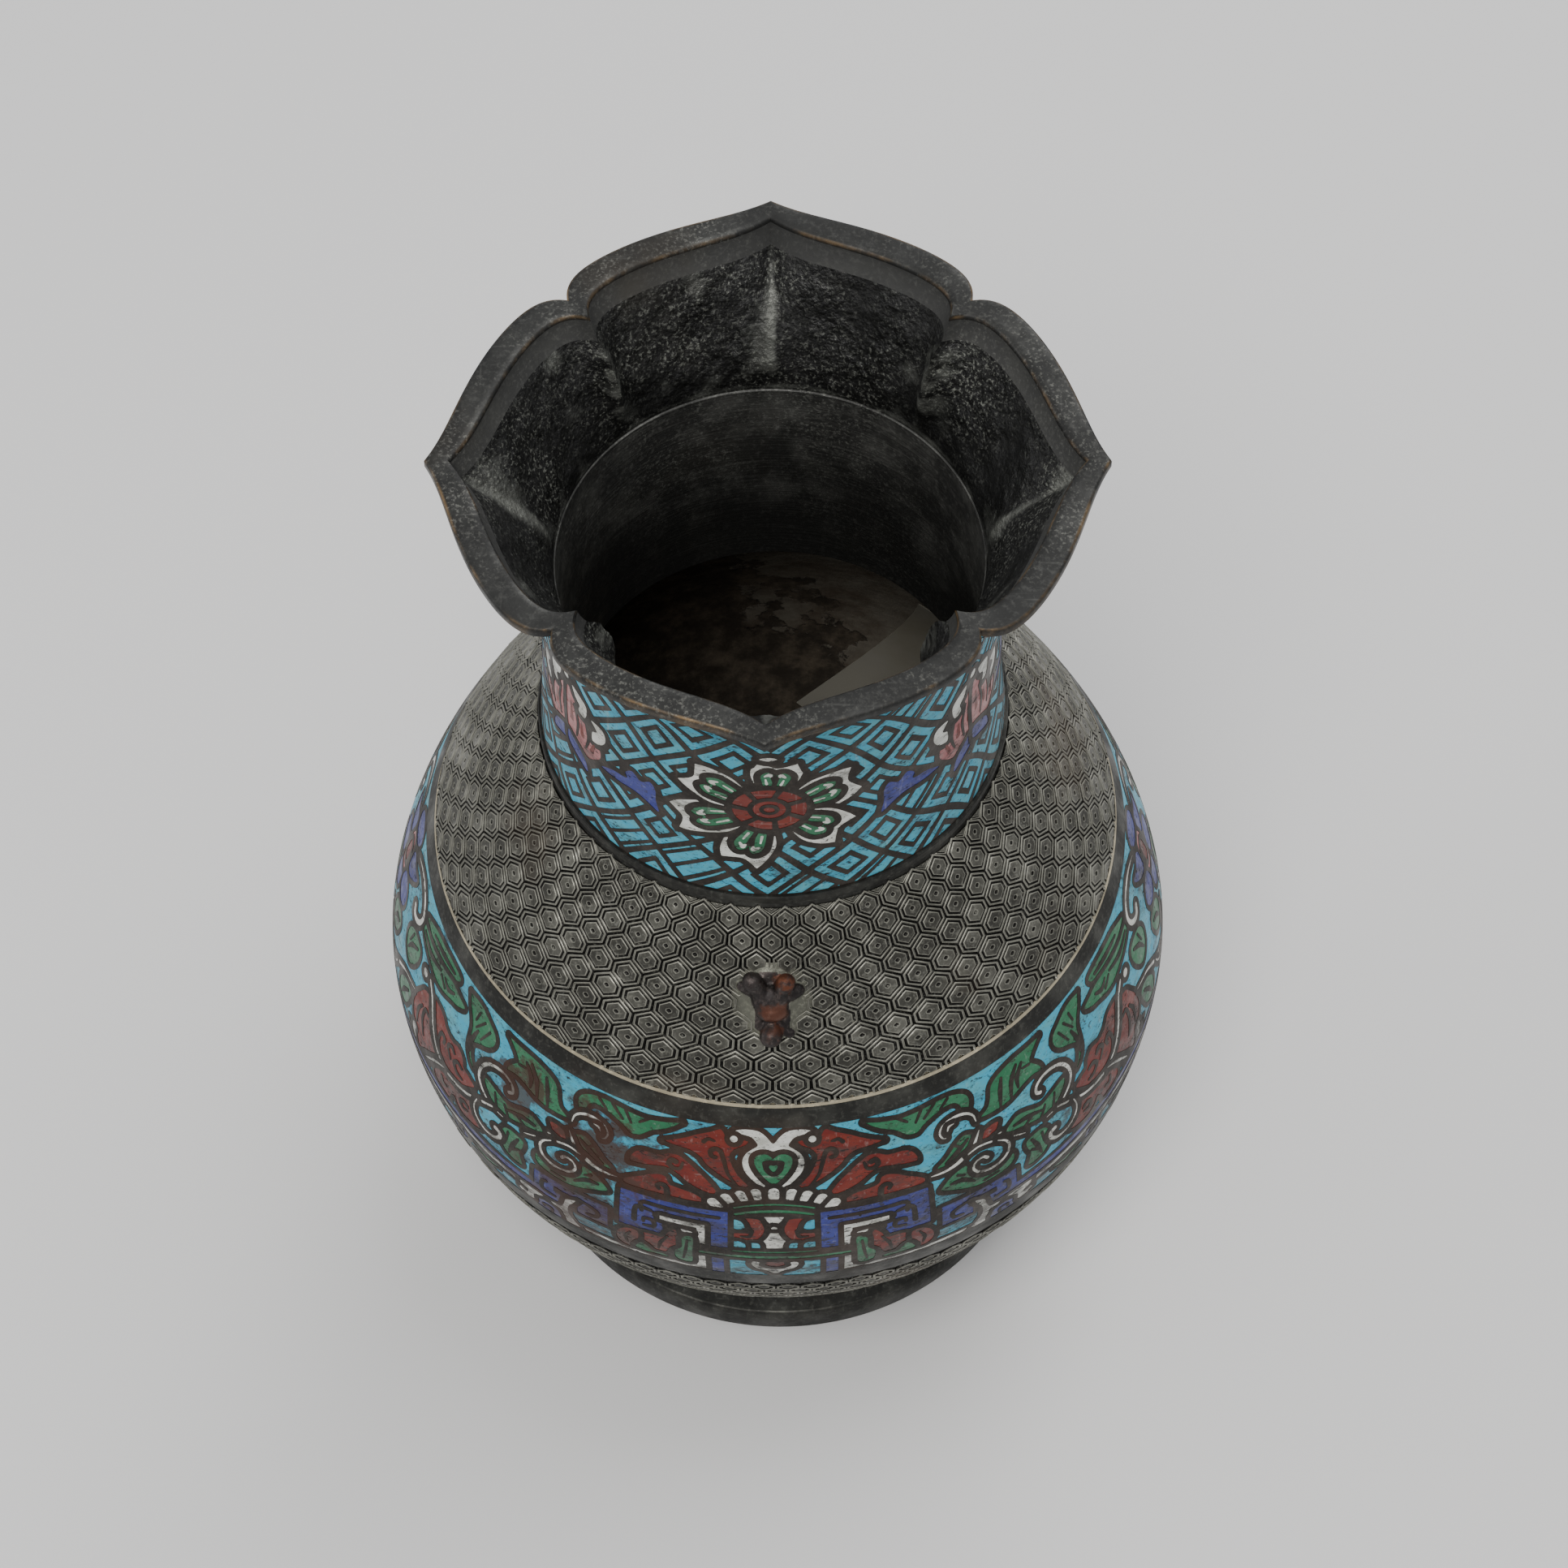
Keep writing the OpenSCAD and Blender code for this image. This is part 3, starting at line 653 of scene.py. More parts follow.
# cuts the sheet along every outline and says which colour each triangle is, or metal
def cutSheet(sheet, spacing=3.5):
    us, vs, fields = sheet["us"], sheet["vs"], sheet["fields"]
    width, height = us[-1], vs[-1]
    verts, edges = [], []
    for field in fields.values():
        if field.max() <= 0 or field.min() > 0:
            continue
        points, pairs = contour(field, us, vs)
        chosen = thinned(points, pairs)
        numbers = {}
        for pair in chosen:
            for k in pair:
                if k not in numbers:
                    numbers[k] = len(verts)
                    verts.append(tuple(points[k]))
        edges += [(numbers[a], numbers[b]) for a, b in chosen]
    cross = list(verts)
    borders = [([(u, edge) for u in between(0, width, spacing)] + [p for p in cross if abs(p[1]
        - edge) < 1e-6], 0) for edge in (0, height)]
    borders += [([(edge, v) for v in between(0, height, spacing)] + [p for p in cross if abs(p[0]
        - edge) < 1e-6], 1) for edge in (0, width)]
    for line, along in borders:
        line = sorted(set(line), key=lambda p: p[1] if along else p[0])
        first = len(verts)
        verts += line
        edges += [(first + i, first + i + 1) for i in range(len(line) - 1)]
    for i, v in enumerate(between(0, height, spacing)[1:-1]):
        verts += [(u + (i % 2) * spacing / 2, v) for u in between(0, width, spacing)[1:-1] if u + (i % 2)
            * spacing / 2 < width - 0.5]
    flat, outEdges, faces, _, fromEdges, _ = delaunay_2d_cdt([Vector(p) for p in verts], edges, [], 0,
        1e-5)
    flat = np.array([tuple(p) for p in flat])
    faces = [tuple(f) for f in faces]
    fixed = {tuple(sorted(e)) for e, source in zip(outEdges, fromEdges) if source}
    beside = {}
    for i, face in enumerate(faces):
        for a, b in zip(face, face[1:] + face[:1]):
            beside.setdefault((min(a, b), max(a, b)), []).append(i)
    names = list(fields)
    tri = flat[np.array(faces)]
    centre = tri.mean(1)
    one, two = tri[:, 1] - tri[:, 0], tri[:, 2] - tri[:, 0]
    size = np.abs(one[:, 0] * two[:, 1] - one[:, 1] * two[:, 0])
    cu, cv = centre[:, 0] / (us[1] - us[0]), centre[:, 1] / (vs[1] - vs[0])
    iu, iv = np.clip(cu.astype(int), 0, len(us) - 2), np.clip(cv.astype(int), 0, len(vs) - 2)
    fu, fv = cu - iu, cv - iv
    level = np.stack([fields[n][iv, iu] * (1 - fu) * (1 - fv) + fields[n][iv, iu + 1] * fu * (1 - fv)
        + fields[n][iv + 1, iu] * (1 - fu) * fv + fields[n][iv + 1, iu + 1] * fu * fv for n in names])
    vote = np.where(level.max(0) > 0, level.argmax(0), len(names))
    label = -np.ones(len(faces), int)
    waiting = 99
    for start in range(len(faces)):
        if label[start] >= 0:
            continue
        group, queue = [], [start]
        label[start] = waiting
        while queue:
            i = queue.pop()
            group.append(i)
            face = faces[i]
            for a, b in zip(face, face[1:] + face[:1]):
                key = (min(a, b), max(a, b))
                if key in fixed:
                    continue
                for k in beside[key]:
                    if label[k] < 0:
                        label[k] = waiting
                        queue.append(k)
        tally = np.bincount(vote[group], weights=size[group] + 1e-9, minlength=len(names) + 1)
        label[group] = tally.argmax()
    found = {}
    for i, k in enumerate(label):
        found.setdefault("metal" if k == len(names) else names[k], []).append(faces[i])
    return flat, found


# a closed solid from some of a sheet's triangles, repeated and mirrored round the vase
def inlay(flat, triangles, width, place, repeats, top, bottom):
    used = sorted({k for t in triangles for k in t})
    number = {k: i for i, k in enumerate(used)}
    sides = {}
    for a, b, c in triangles:
        for edge in ((a, b), (b, c), (c, a)):
            sides[edge] = sides.get(edge, 0) + 1
    seam = lambda a, b: any(abs(flat[a][0] - x) < 1e-6 and abs(flat[b][0] - x) < 1e-6 for x in (0, width))
    rim = [e for e in sides if (e[1], e[0]) not in sides and not seam(*e)]
    verts, faces, home = [], [], {}
    for turn, flip in repeats:
        here = []
        for depth in (top, bottom):
            for k in used:
                u, v = flat[k]
                spot = place(turn + (-u if flip else u), v, depth)
                key = tuple(round(x * 2e6) for x in spot)
                if min(u, width - u) < 1e-6:
                    if key not in home:
                        home[key] = len(verts)
                        verts.append(spot)
                    here.append(home[key])
                else:
                    here.append(len(verts))
                    verts.append(spot)
        n = len(used)
        for a, b, c in triangles:
            a, b, c = number[a], number[b], number[c]
            up, down = (here[a], here[b], here[c]), (here[n + c], here[n + b], here[n + a])
            faces += [up, down] if flip else [up[::-1], down[::-1]]
        for a, b in rim:
            a, b = number[a], number[b]
            wall = (here[b], here[a], here[n + a], here[n + b])
            faces.append(wall if flip else wall[::-1])
    return verts, faces


bellyEnamel = {"radius": 105, "line": 1.62, "top": 0.1, "bottom": 0.78, "tall": 62}


# one quarter of the belly band, from the palmette at the front to the blossom at the side
def paintBelly():
    end = math.pi * bellyEnamel["radius"] / 2
    sheet = newSheet(end, bellyEnamel["tall"], bellyEnamel["line"])
    # the palmette's red petals, each with a curl
    fill(sheet, "red", [(6.3, 20.6), (8.6, 17.9), (10.4, 15.3), (12.2, 10.6), (10.9, 7.7), (7.9, 6.0),
        (6.8, 4.4), (7.1, 3.1), (8.4, 3.9), (9.9, 6.0), (11.8, 6.6), (13.5, 5.3), (13.8, 3.0), (15.1,
        1.4), (17.5, 2.6), (21.5, 4.2), (25.5, 6.4), (30.9, 8.8), (30.9, 8.8), (27.5, 9.4), (23.2, 9.9),
        (20.4, 11.5), (18.5, 13.9), (15.6, 16.3), (12.8, 18.2), (9.0, 20.6), (7.6, 20.9)])
    stroke(sheet, None, [(9.9, 20.1), (12.4, 16.4), (13.6, 12), (14.6, 9), (16.1, 8.1), (17.5, 9.1),
        (17.2, 10.7), (16.0, 11)], 0.5, 1, 1.1, 0.9)
    stroke(sheet, None, [(16.5, 5.6), (18.4, 5.2), (19.6, 6.3)], 0.5, 1)
    fill(sheet, "red", [(15.1, 23.9), (17.5, 20.1), (21.3, 16.3), (24.2, 13.9), (26.4, 12.6), (29, 12.7),
        (31.3, 13.9), (33.6, 14.2), (36.6, 14.3), (38.7, 15.6), (39.9, 18), (39.7, 19.4), (39.7, 19.4),
        (36.6, 19.1), (32.8, 18.2), (29.4, 17.7), (26.1, 19.1), (23.2, 21.5), (19.4, 23.4), (16.4, 24.3)])
    stroke(sheet, None, [(25.0, 14.9), (25.6, 17.0), (27.4, 17.4), (28.8, 16.2), (28.2, 14.7), (27.0,
        15.0)], 0.6, 1.1, 1.3)
    fill(sheet, "red", [(18.5, 27.2), (21.3, 25.3), (25.1, 24.4), (27.5, 23.9), (28.8, 22.9), (29.2,
        21.5), (30.9, 20.9), (33.7, 21.8), (36.1, 23.4), (39, 25.1), (41.1, 26.8), (40.4, 28.2), (36.5,
        28.3), (32.8, 28.1), (25, 28), (19.4, 28)])
    stroke(sheet, None, [(28.6, 27.4), (29.0, 25.2), (30.4, 24.3), (31.6, 25.2), (31.0, 26.3)], 1.3, 1.1,
        0.8)
    # the crown: a white forked band round a green heart
    fill(sheet, "white", whole([(0, 5.1), (1.8, 3.0), (4.0, 1.2), (7.0, 0.7), (9.9, 1.0), (11.4, 1.9),
        (9.0, 2.4), (6.3, 3.2), (4.9, 4.6), (4.4, 6.0), (6.1, 7.3), (7.8, 9.0), (8.6, 11.5), (8.0, 14.6),
        (6.3, 17.2), (4.0, 19.6), (1.8, 20.6), (2.5, 19.1), (4.9, 16.5), (6.2, 13.9), (6.6, 11.0), (5.7,
        8.9), (3.7, 7.7), (1.8, 7.5), (0, 7.7)]))
    dot(sheet, "white", 11.1, 4.2, 1.1)
    fill(sheet, "green", whole([(0, 10.1), (1.5, 8.9), (3.3, 8.7), (4.9, 9.6), (5.3, 11.5), (4.5, 14),
        (2.5, 17), (0, 19.2)]))
    fill(sheet, None, whole([(0, 12), (1.6, 10.9), (3, 11.4), (2.9, 12.9), (1.8, 14.6), (0, 16.4)]))
    fill(sheet, "green", whole([(0, 12.6), (0.9, 12.4), (1.2, 13.4), (0, 14.8)]))
    # the collar of beads, two green arcs and the white spindle between red scrolls
    for u, v, lean in ((0, 22.9, 0), (4.8, 23.3, 0.1), (8.7, 24.3, 0.35), (12.4, 25.9, 0.6), (15.6, 28.1,
            0.9)):
        sway = math.sin(lean) * 0.9
        for side in ([1, -1] if u else [1]):
            stroke(sheet, "white", [(side * (u + sway), v - 0.9), (side * (u - sway), v + 0.9)], 3.0, 3.3,
                3.0)
    stroke(sheet, "green", [(-10.5, 28.7), (-6, 27.5), (0, 26.9), (6, 27.5), (10.5, 28.7)], 0.9, 1.1, 0.9)
    stroke(sheet, "green", [(-10.5, 31.2), (-6, 29.9), (0, 29.3), (6, 29.9), (10.5, 31.2)], 0.9, 1.2, 0.9)
    fill(sheet, "white", whole([(0, 31.6), (2.7, 31.7), (1.9, 33.2), (0.9, 34.5), (0, 34.6)]))
    dot(sheet, "white", 0, 36.4, 0.85)
    fill(sheet, "white", whole([(0, 38.3), (1.3, 38.4), (1.9, 40.2), (3.2, 42.2), (3.0, 45.8),
        (0, 45.8)]))
    for side in (1, -1):
        fill(sheet, "red", [(side * u, v) for u, v in ((4.3, 32.6), (7.7, 32.6), (6.8, 34.9), (5.6, 37.2),
            (6.1, 38.9), (8.2, 38.5), (10.2, 38.7), (10.6, 40.6), (8.9, 42), (5.6, 42), (3.4, 39.8), (2.6,
            36.8), (3.2, 34.4))])
        stroke(sheet, None, [(side * 5.6, 37.6), (side * 6.6, 40.2), (side * 8.8, 40.2)], 0.5, 0.9, 0.4)
        fill(sheet, "turquoise", [(side * u, v) for u, v in ((8.6, 34.0), (10.9, 33.4), (10.8, 36.9),
            (7.8, 36.8))])
        fill(sheet, "turquoise", [(side * u, v) for u, v in ((4.1, 43.2), (6.6, 43.2), (6.7, 45.9), (4.0,
            45.9))])
        fill(sheet, "turquoise", [(side * u, v) for u, v in ((7.9, 43.2), (10.6, 42.6), (10.7, 45.9),
            (7.8, 45.9))])
    fill(sheet, None, [(-21.2, 46.3), (21.2, 46.3), (21.2, 51.6), (-21.2, 51.6)], corners=True)
    for v in (47.8, 50.2):
        stroke(sheet, "green", [(-20.3, v), (0, v), (20.3, v)], 1.4, 1.6, 1.4)
    # the small hanging blossom under the bar
    fill(sheet, "red", whole([(0, 52.6), (2.3, 53), (2.6, 54.6), (1.6, 56), (0, 56.4)]))
    fill(sheet, "white", whole([(0, 57.5), (2.2, 57.0), (4.2, 55.2), (4.0, 53.2), (5.8, 53.0), (6.1,
        55.0), (4.8, 57.4), (2.4, 58.6), (0.9, 60.4), (0, 60.6)]))
    # the blue fret with its white lining
    fill(sheet, "blue", [(12.2, 30.6), (41.6, 30.6), (41.6, 45.7), (29.2, 45.7), (29.2, 38.2), (32.4,
        38.2), (32.4, 36.1), (17.2, 36.1), (17.2, 46.2), (12.2, 46.2)], corners=True)
    stroke(sheet, None, [(14.6, 33.3), (30, 33.3), (35.4, 33.5), (35.4, 37.0)], 0.9, 1.1, 0.9)
    stroke(sheet, None, [(33.0, 36.0), (36.9, 36.0), (37.4, 42.0)], 0.9, 1.2)
    stroke(sheet, None, [(34.6, 43.2), (31.9, 42.6), (32.2, 40.2), (34.6, 40.0), (34.8, 41.6)], 0.8, 1.1,
        0.7)
    fill(sheet, "white", [(18.2, 37.1), (30.4, 36.9), (30.4, 38.7), (20.4, 38.9), (20.4, 46.2), (18.2,
        46.2)], corners=True)
    stroke(sheet, "white", [(22, 41.6), (24.5, 41.2), (27.6, 41.0)], 1.2, 1.0)
    fill(sheet, "blue", [(13.4, 52.4), (16.6, 52.4), (16.6, 62.5), (13.4, 62.5)], corners=True)
    fill(sheet, "white", [(18.2, 52.4), (20.6, 52.4), (20.6, 59.2), (53.2, 59.2), (53.2, 61.2), (18.2,
        61.2)], corners=True)
    # the red and green leaves held by the fret
    fill(sheet, "red", [(26.0, 41.8), (28.0, 43.6), (29.6, 46.6), (34.5, 46.9), (35.4, 50.8), (33.2,
        53.6), (31.2, 56.4), (29.0, 55.0), (27.6, 52.0), (25.6, 50.6), (25.4, 46.5)])
    fill(sheet, "green", [(21.4, 43.6), (24.2, 44.6), (24.4, 49.6), (26.4, 52.6), (25.8, 57.6), (22.0,
        57.8), (21.6, 51)])
    fill(sheet, "red", [(36.4, 47.6), (39.4, 47.4), (42.0, 50.4), (42.6, 55.0), (40.8, 58.0), (37.8,
        57.8), (37.6, 53.6), (36.4, 51.6)])
    fill(sheet, "green", [(32.6, 56.4), (35.0, 53.0), (36.8, 55.4), (36.8, 58.0), (28.6, 58.0), (29.6,
        56.6)])
    stroke(sheet, None, [(22.9, 45.5), (23.4, 51), (24.2, 56.5)], 0.5, 0.7, 0.4)
    stroke(sheet, None, [(28.2, 45.8), (30.2, 50), (30.8, 54)], 0.5, 0.8, 0.4)
    stroke(sheet, None, [(38.6, 49.2), (40.0, 52.6), (39.6, 56)], 0.5, 0.8, 0.4)
    # the second fret and the long bars
    fill(sheet, "blue", [(44.9, 41.3), (67.8, 41.3), (67.8, 48.6), (165, 48.6), (165, 51.4), (58.8, 51.4),
        (58.8, 46.4), (61.4, 46.4), (61.4, 44.2), (54.0, 44.2), (54.0, 50.9), (44.9, 50.9)], corners=True)
    stroke(sheet, None, [(50.8, 49.0), (48.2, 48.4), (48.0, 45.8), (50.8, 44.4), (54, 43.6)], 0.9, 1.1,
        0.7)
    stroke(sheet, None, [(63.8, 44.0), (65.0, 44.8), (65.0, 48.4), (61.0, 49.0)], 0.8, 1.1, 0.8)
    fill(sheet, "white", [(54.2, 45.2), (54.2, 45.2), (57.4, 47.0), (58.2, 50.2), (59.4, 52.8), (62.4,
        53.2), (62.0, 54.6), (59.6, 55.2), (59.0, 58.2), (60.4, 61.4), (54.2, 61.4), (55.4, 58.4), (57.0,
        54.6), (56.8, 50.4), (55.4, 47.6)])
    fill(sheet, "blue", [(61.2, 56.6), (67.2, 56.6), (68.0, 62.4), (60.6, 62.4)])
    stroke(sheet, None, [(63.0, 61.2), (63.0, 58.6), (65.4, 58.6), (65.6, 60.4)], 0.7, 0.9, 0.6)
    fill(sheet, "white", [(65.2, 53.0), (72.4, 53.0), (73.2, 55.2), (70.8, 56.6), (71.2, 58.4), (73.2,
        57.2), (73.6, 59.8), (69.2, 60.6), (68.6, 56.6), (66.4, 54.8)])
    fill(sheet, "white", [(74.8, 53.0), (165, 53.0), (165, 55.4), (74.8, 55.4)], corners=True)
    for u in (96, 122, 148):
        stroke(sheet, "blue", [(u, 57.2), (u, 60.6), (u + 4, 60.9), (u + 4, 58.4)], 1.6, 1.6)
        stroke(sheet, "green", [(u - 14, 58.2), (u - 9, 59.8), (u - 4, 58.4)], 0.8, 2.2, 0.8)
    # leaves: each an outline and its veins
    leaves = [([(26.4, 1.6), (26.4, 1.6), (29.8, 2.4), (32.6, 2.9), (36.5, 3.4), (40.6, 3.2), (45.1, 2.7),
        (49.4, 2.3), (53.4, 2.6), (56.6, 4.0), (57.9, 6.2), (57.4, 8.9), (56.4, 9.6), (56.4, 9.6), (55.2,
        8.3), (54.6, 6.6), (53.2, 5.4), (51.0, 5.1), (48, 5.8), (45.1, 7.0), (42.8, 8.3), (40.9, 9.8),
        (38.3, 9.5), (36.4, 8), (34.6, 6.5), (31.6, 5.2), (29, 3.7)], [[(36.0, 3.2), (38.6, 5.2)],
        [(43.2, 3.0), (41.0, 6.4)], [(47.4, 2.6), (43.6, 6.2)], [(51.6, 2.9), (48.9, 5.2)]]),
        ([(60.2, 14.5), (62.8, 12.7), (64.2, 10.1), (65.1, 7), (67, 5.2), (70, 4.0), (74.5, 3.1), (80.4,
        2.9), (84.9, 2.8), (84.9, 2.8), (81.4, 5.4), (79.6, 7.6), (80.3, 9.1), (81.9, 11), (82.4, 13.1),
        (79.4, 12.5), (75.6, 13.0), (71.6, 14.4), (68, 15.2), (63.2, 15.1)], [[(69.2, 6.2), (67.8, 10),
        (66.8, 15.0)], [(74.9, 5.4), (72.0, 9.4), (70.6, 14.8)], [(76.8, 6.0), (74.1, 9.4), (73.6, 12.9)],
        [(79.0, 8.4), (76.6, 8.0)]]), ([(103.8, 2.9), (103.8, 2.9), (100.4, 2.5), (96.8, 3.0), (93.6,
        4.5), (90.4, 6.2), (89.0, 8.2), (89.4, 10.6), (91.2, 12.6), (94, 14.0), (96.6, 15.9), (96.7,
        18.6), (95.6, 21.6), (93.8, 24.0), (95.9, 22.4), (97.7, 19.2), (98.3, 15.4), (98.6, 12), (99.9,
        9.0), (102.0, 6.2)], [[(92.0, 7.6), (94.4, 12.6)], [(94.8, 6.4), (97.4, 10.4)], [(97.8, 5.4),
        (98.4, 8.4)], [(96.3, 11), (97.4, 15), (97.2, 20)]]), ([(66.6, 25.0), (67.2, 23.8), (68.9, 22.7),
        (71, 21.8), (74, 22.5), (76.8, 23.9), (79.6, 24.6), (84, 23.4), (88.4, 22.4), (88.7, 24), (86.5,
        26.7), (83.5, 28.7), (80, 29.1), (76, 28.3), (72, 26.9), (69, 26.1)], [[(69.4, 24.6), (74, 24.9),
        (79, 26.6)], [(73, 27.2), (76.4, 25.4)], [(78.4, 28.9), (80.4, 25.6)], [(83, 28.6), (84.4,
        24.4)]]), ([(72.1, 33.9), (74.5, 33.1), (77, 33), (79, 34), (80.0, 36.8), (79.6, 40.1), (78.4,
        42.6), (76.2, 44.1), (73.4, 44.6), (71.8, 43.8), (72.6, 41.2), (73.1, 39.0), (72.2, 36.6)],
        [[(74.0, 34.6), (75.6, 38.6), (76.6, 42.8)], [(73.6, 38.6), (75.8, 40.6)], [(77.6, 34.8), (77.9,
        38.6)]]), ([(45.2, 34.1), (46.4, 32.3), (48.4, 30.4), (51.1, 29.1), (53.2, 28.9), (53.6, 31.4),
        (54.5, 34.0), (56.9, 36.2), (59.8, 37.2), (63.2, 37.0), (65.8, 35.6), (67.4, 34.2), (67.7, 36.5),
        (66.0, 38.4), (62.6, 39.2), (57.8, 39.3), (54, 38.5), (50.7, 37.0), (47.8, 35.6)], [[(48.2, 33.2),
        (51.6, 33.6), (55, 36.4)], [(50.4, 31.0), (52.2, 32.0)], [(58, 38.2), (62.4, 38.0)]]),
        ([(44.9, 25.0), (47.3, 23.3), (49.2, 21.4), (51.1, 19.4), (53.9, 17.6), (56.3, 18.5), (57.3,
        19.8), (55.8, 21.7), (53, 23.6), (50.1, 25.3), (47.3, 25.9)], [[(47.6, 24.6), (51.6, 22.0), (55.0,
        19.4)], [(51, 19.6), (52.6, 21.4)]]), ([(109.8, 3.6), (114.7, 2.8), (120.4, 2.9), (126.8, 3.3),
        (130.4, 4.3), (135, 6.2), (130.4, 7.2), (124.7, 7.6), (119, 7.2), (114.7, 6.5), (110.9, 5.6)],
        [[(113, 4.8), (120, 5.2), (128, 5.6)]]), ([(103.9, 9.5), (107.5, 8.4), (111.8, 7.6), (119, 8.4),
        (126.8, 9.0), (134.9, 8.6), (135.7, 9.9), (130.4, 12.1), (124.7, 13.6), (119, 14.7), (114.7,
        14.3), (110.4, 12.8), (106.8, 11.8)], [[(110, 10), (113, 11.4), (116, 10)], [(114.6, 12.8), (118,
        10.8)], [(119, 10.2), (126, 11.4), (133, 10)]]), ([(131, 17.2), (135, 16.4), (139.4, 17.4),
        (141.6, 21), (139.8, 25.4), (135.6, 27.6), (132.4, 25.2), (130.4, 21)], [[(132.8, 18.8), (136.4,
        21.4), (138.4, 25)], [(137.6, 18.2), (138.6, 22)]]), ([(128.8, 34.4), (132.6, 33.6), (136.4,
        36.4), (138.6, 40.6), (137.4, 44.8), (133.2, 44.2), (130.2, 40.4)], [[(131, 36), (134, 39.6),
        (135.8, 43.4)]]), ([(147.6, 28.4), (152.2, 27.0), (157.0, 29.4), (158.4, 33.8), (154.6, 37.2),
        (150.0, 35.0)], [[(149.8, 29.8), (153.4, 32), (155.4, 35.4)]]), ([(112.6, 44.8), (117.6, 44.2),
        (122.8, 43.0), (127.4, 43.6), (124.6, 46.2), (119, 47.0)], [[(115, 45.4), (121, 44.8)]])]
    for outline, veins in leaves:
        fill(sheet, "green", outline)
        for vein in veins:
            stroke(sheet, None, vein, 0.7, 1.2, 0.55)
    fill(sheet, "red", [(58.8, 22.0), (59.7, 20.2), (62.3, 19.1), (64.8, 19.3), (64.4, 20.8), (63, 22.6),
        (61, 23.4), (59.2, 23.2)])
    fill(sheet, "white", [(61.6, 24.2), (63.6, 23.5), (65.4, 23.6), (64.0, 24.6)])
    # the great red flower, its petals curled
    for petal in ([(92.0, 30.0), (94.6, 28.6), (97.6, 27.6), (98.6, 25.0), (101.2, 23.3), (104.7, 24.0),
            (108.4, 22.6), (111.0, 20.4), (114, 19.8), (117, 20.2), (119.8, 22.2), (122.2, 23.2), (123.8,
            25.8), (125.6, 29.2), (126.4, 33.5), (125.6, 37), (123.4, 40.6), (121.9, 45.2), (119.2, 46.0),
            (116.9, 43.4), (113.6, 40.4), (109.6, 36.8), (104, 36.2), (98, 34.8), (94.4, 32.4)],
            [(92.5, 35.4), (91.2, 39), (88.2, 42), (87.4, 44.2), (90.4, 45.7), (94.7, 46.4), (97.7, 45.0),
            (99.2, 43.0), (101, 44.4), (101.8, 47.0), (104.2, 47.2), (108.6, 46.8), (109.9, 44.2), (108.2,
            41.3), (105.4, 39.3), (101.4, 38.8), (97.4, 38.2), (94.7, 36.6)]):
        fill(sheet, "red", petal)
    for curl in ([(97.2, 32.6), (99.8, 32.2), (101.6, 30.2), (100.2, 28.4), (98.2, 29.0)], [(103.4, 30.6),
            (105.6, 27.6), (104.0, 25.9), (102.4, 27.0)], [(108.4, 33.8), (110.2, 29.6), (109.4, 26.4),
            (107.4, 27.0), (107.6, 28.8)], [(117.8, 38.6), (119.8, 33.4), (119.4, 28.6), (117.2, 28.8)],
            [(122.6, 38.4), (123.0, 33.0), (121.4, 29.4)], [(93.4, 42.8), (95.4, 43.4), (96.6, 41.6),
            (95.0, 40.2), (93.2, 41.0)], [(103.4, 43.6), (105.4, 43.8), (106.0, 41.9)]):
        stroke(sheet, None, curl, 0.6, 1.1, 0.8)
    fill(sheet, "white", [(122.6, 41.6), (124.2, 40.8), (125.2, 43.2), (123.8, 46.2), (122.0, 46.4),
        (122.8, 44.0)])
    # the blue blossom at the side with its red heart
    fill(sheet, "blue", [(149.2, 8.9), (154.0, 9.4), (158.4, 8.4), (160.4, 10.8), (159.8, 14.8), (156.8,
        15.8), (152.4, 13.0)])
    fill(sheet, "blue", [(150.2, 20.6), (153.6, 17.6), (158.2, 17.8), (160.6, 21.4), (159.4, 25.4),
        (154.8, 26.2), (151.2, 24.2)])
    fill(sheet, "blue", whole([(end, 24.4), (161.9, 24.2), (161.4, 29.2), (end, 32.4)], end))
    fill(sheet, "blue", whole([(end, 1.6), (160.6, 2.2), (158.8, 4.6), (160.8, 7.4), (end, 8.2)], end))
    fill(sheet, "pink", whole([(end, 9.6), (162.2, 10.2), (161.2, 15.8), (162.2, 21.8), (end, 22.8)],
        end))
    fill(sheet, "red", whole([(end, 12.6), (163.2, 13.4), (163.0, 18.6), (end, 19.6)], end))
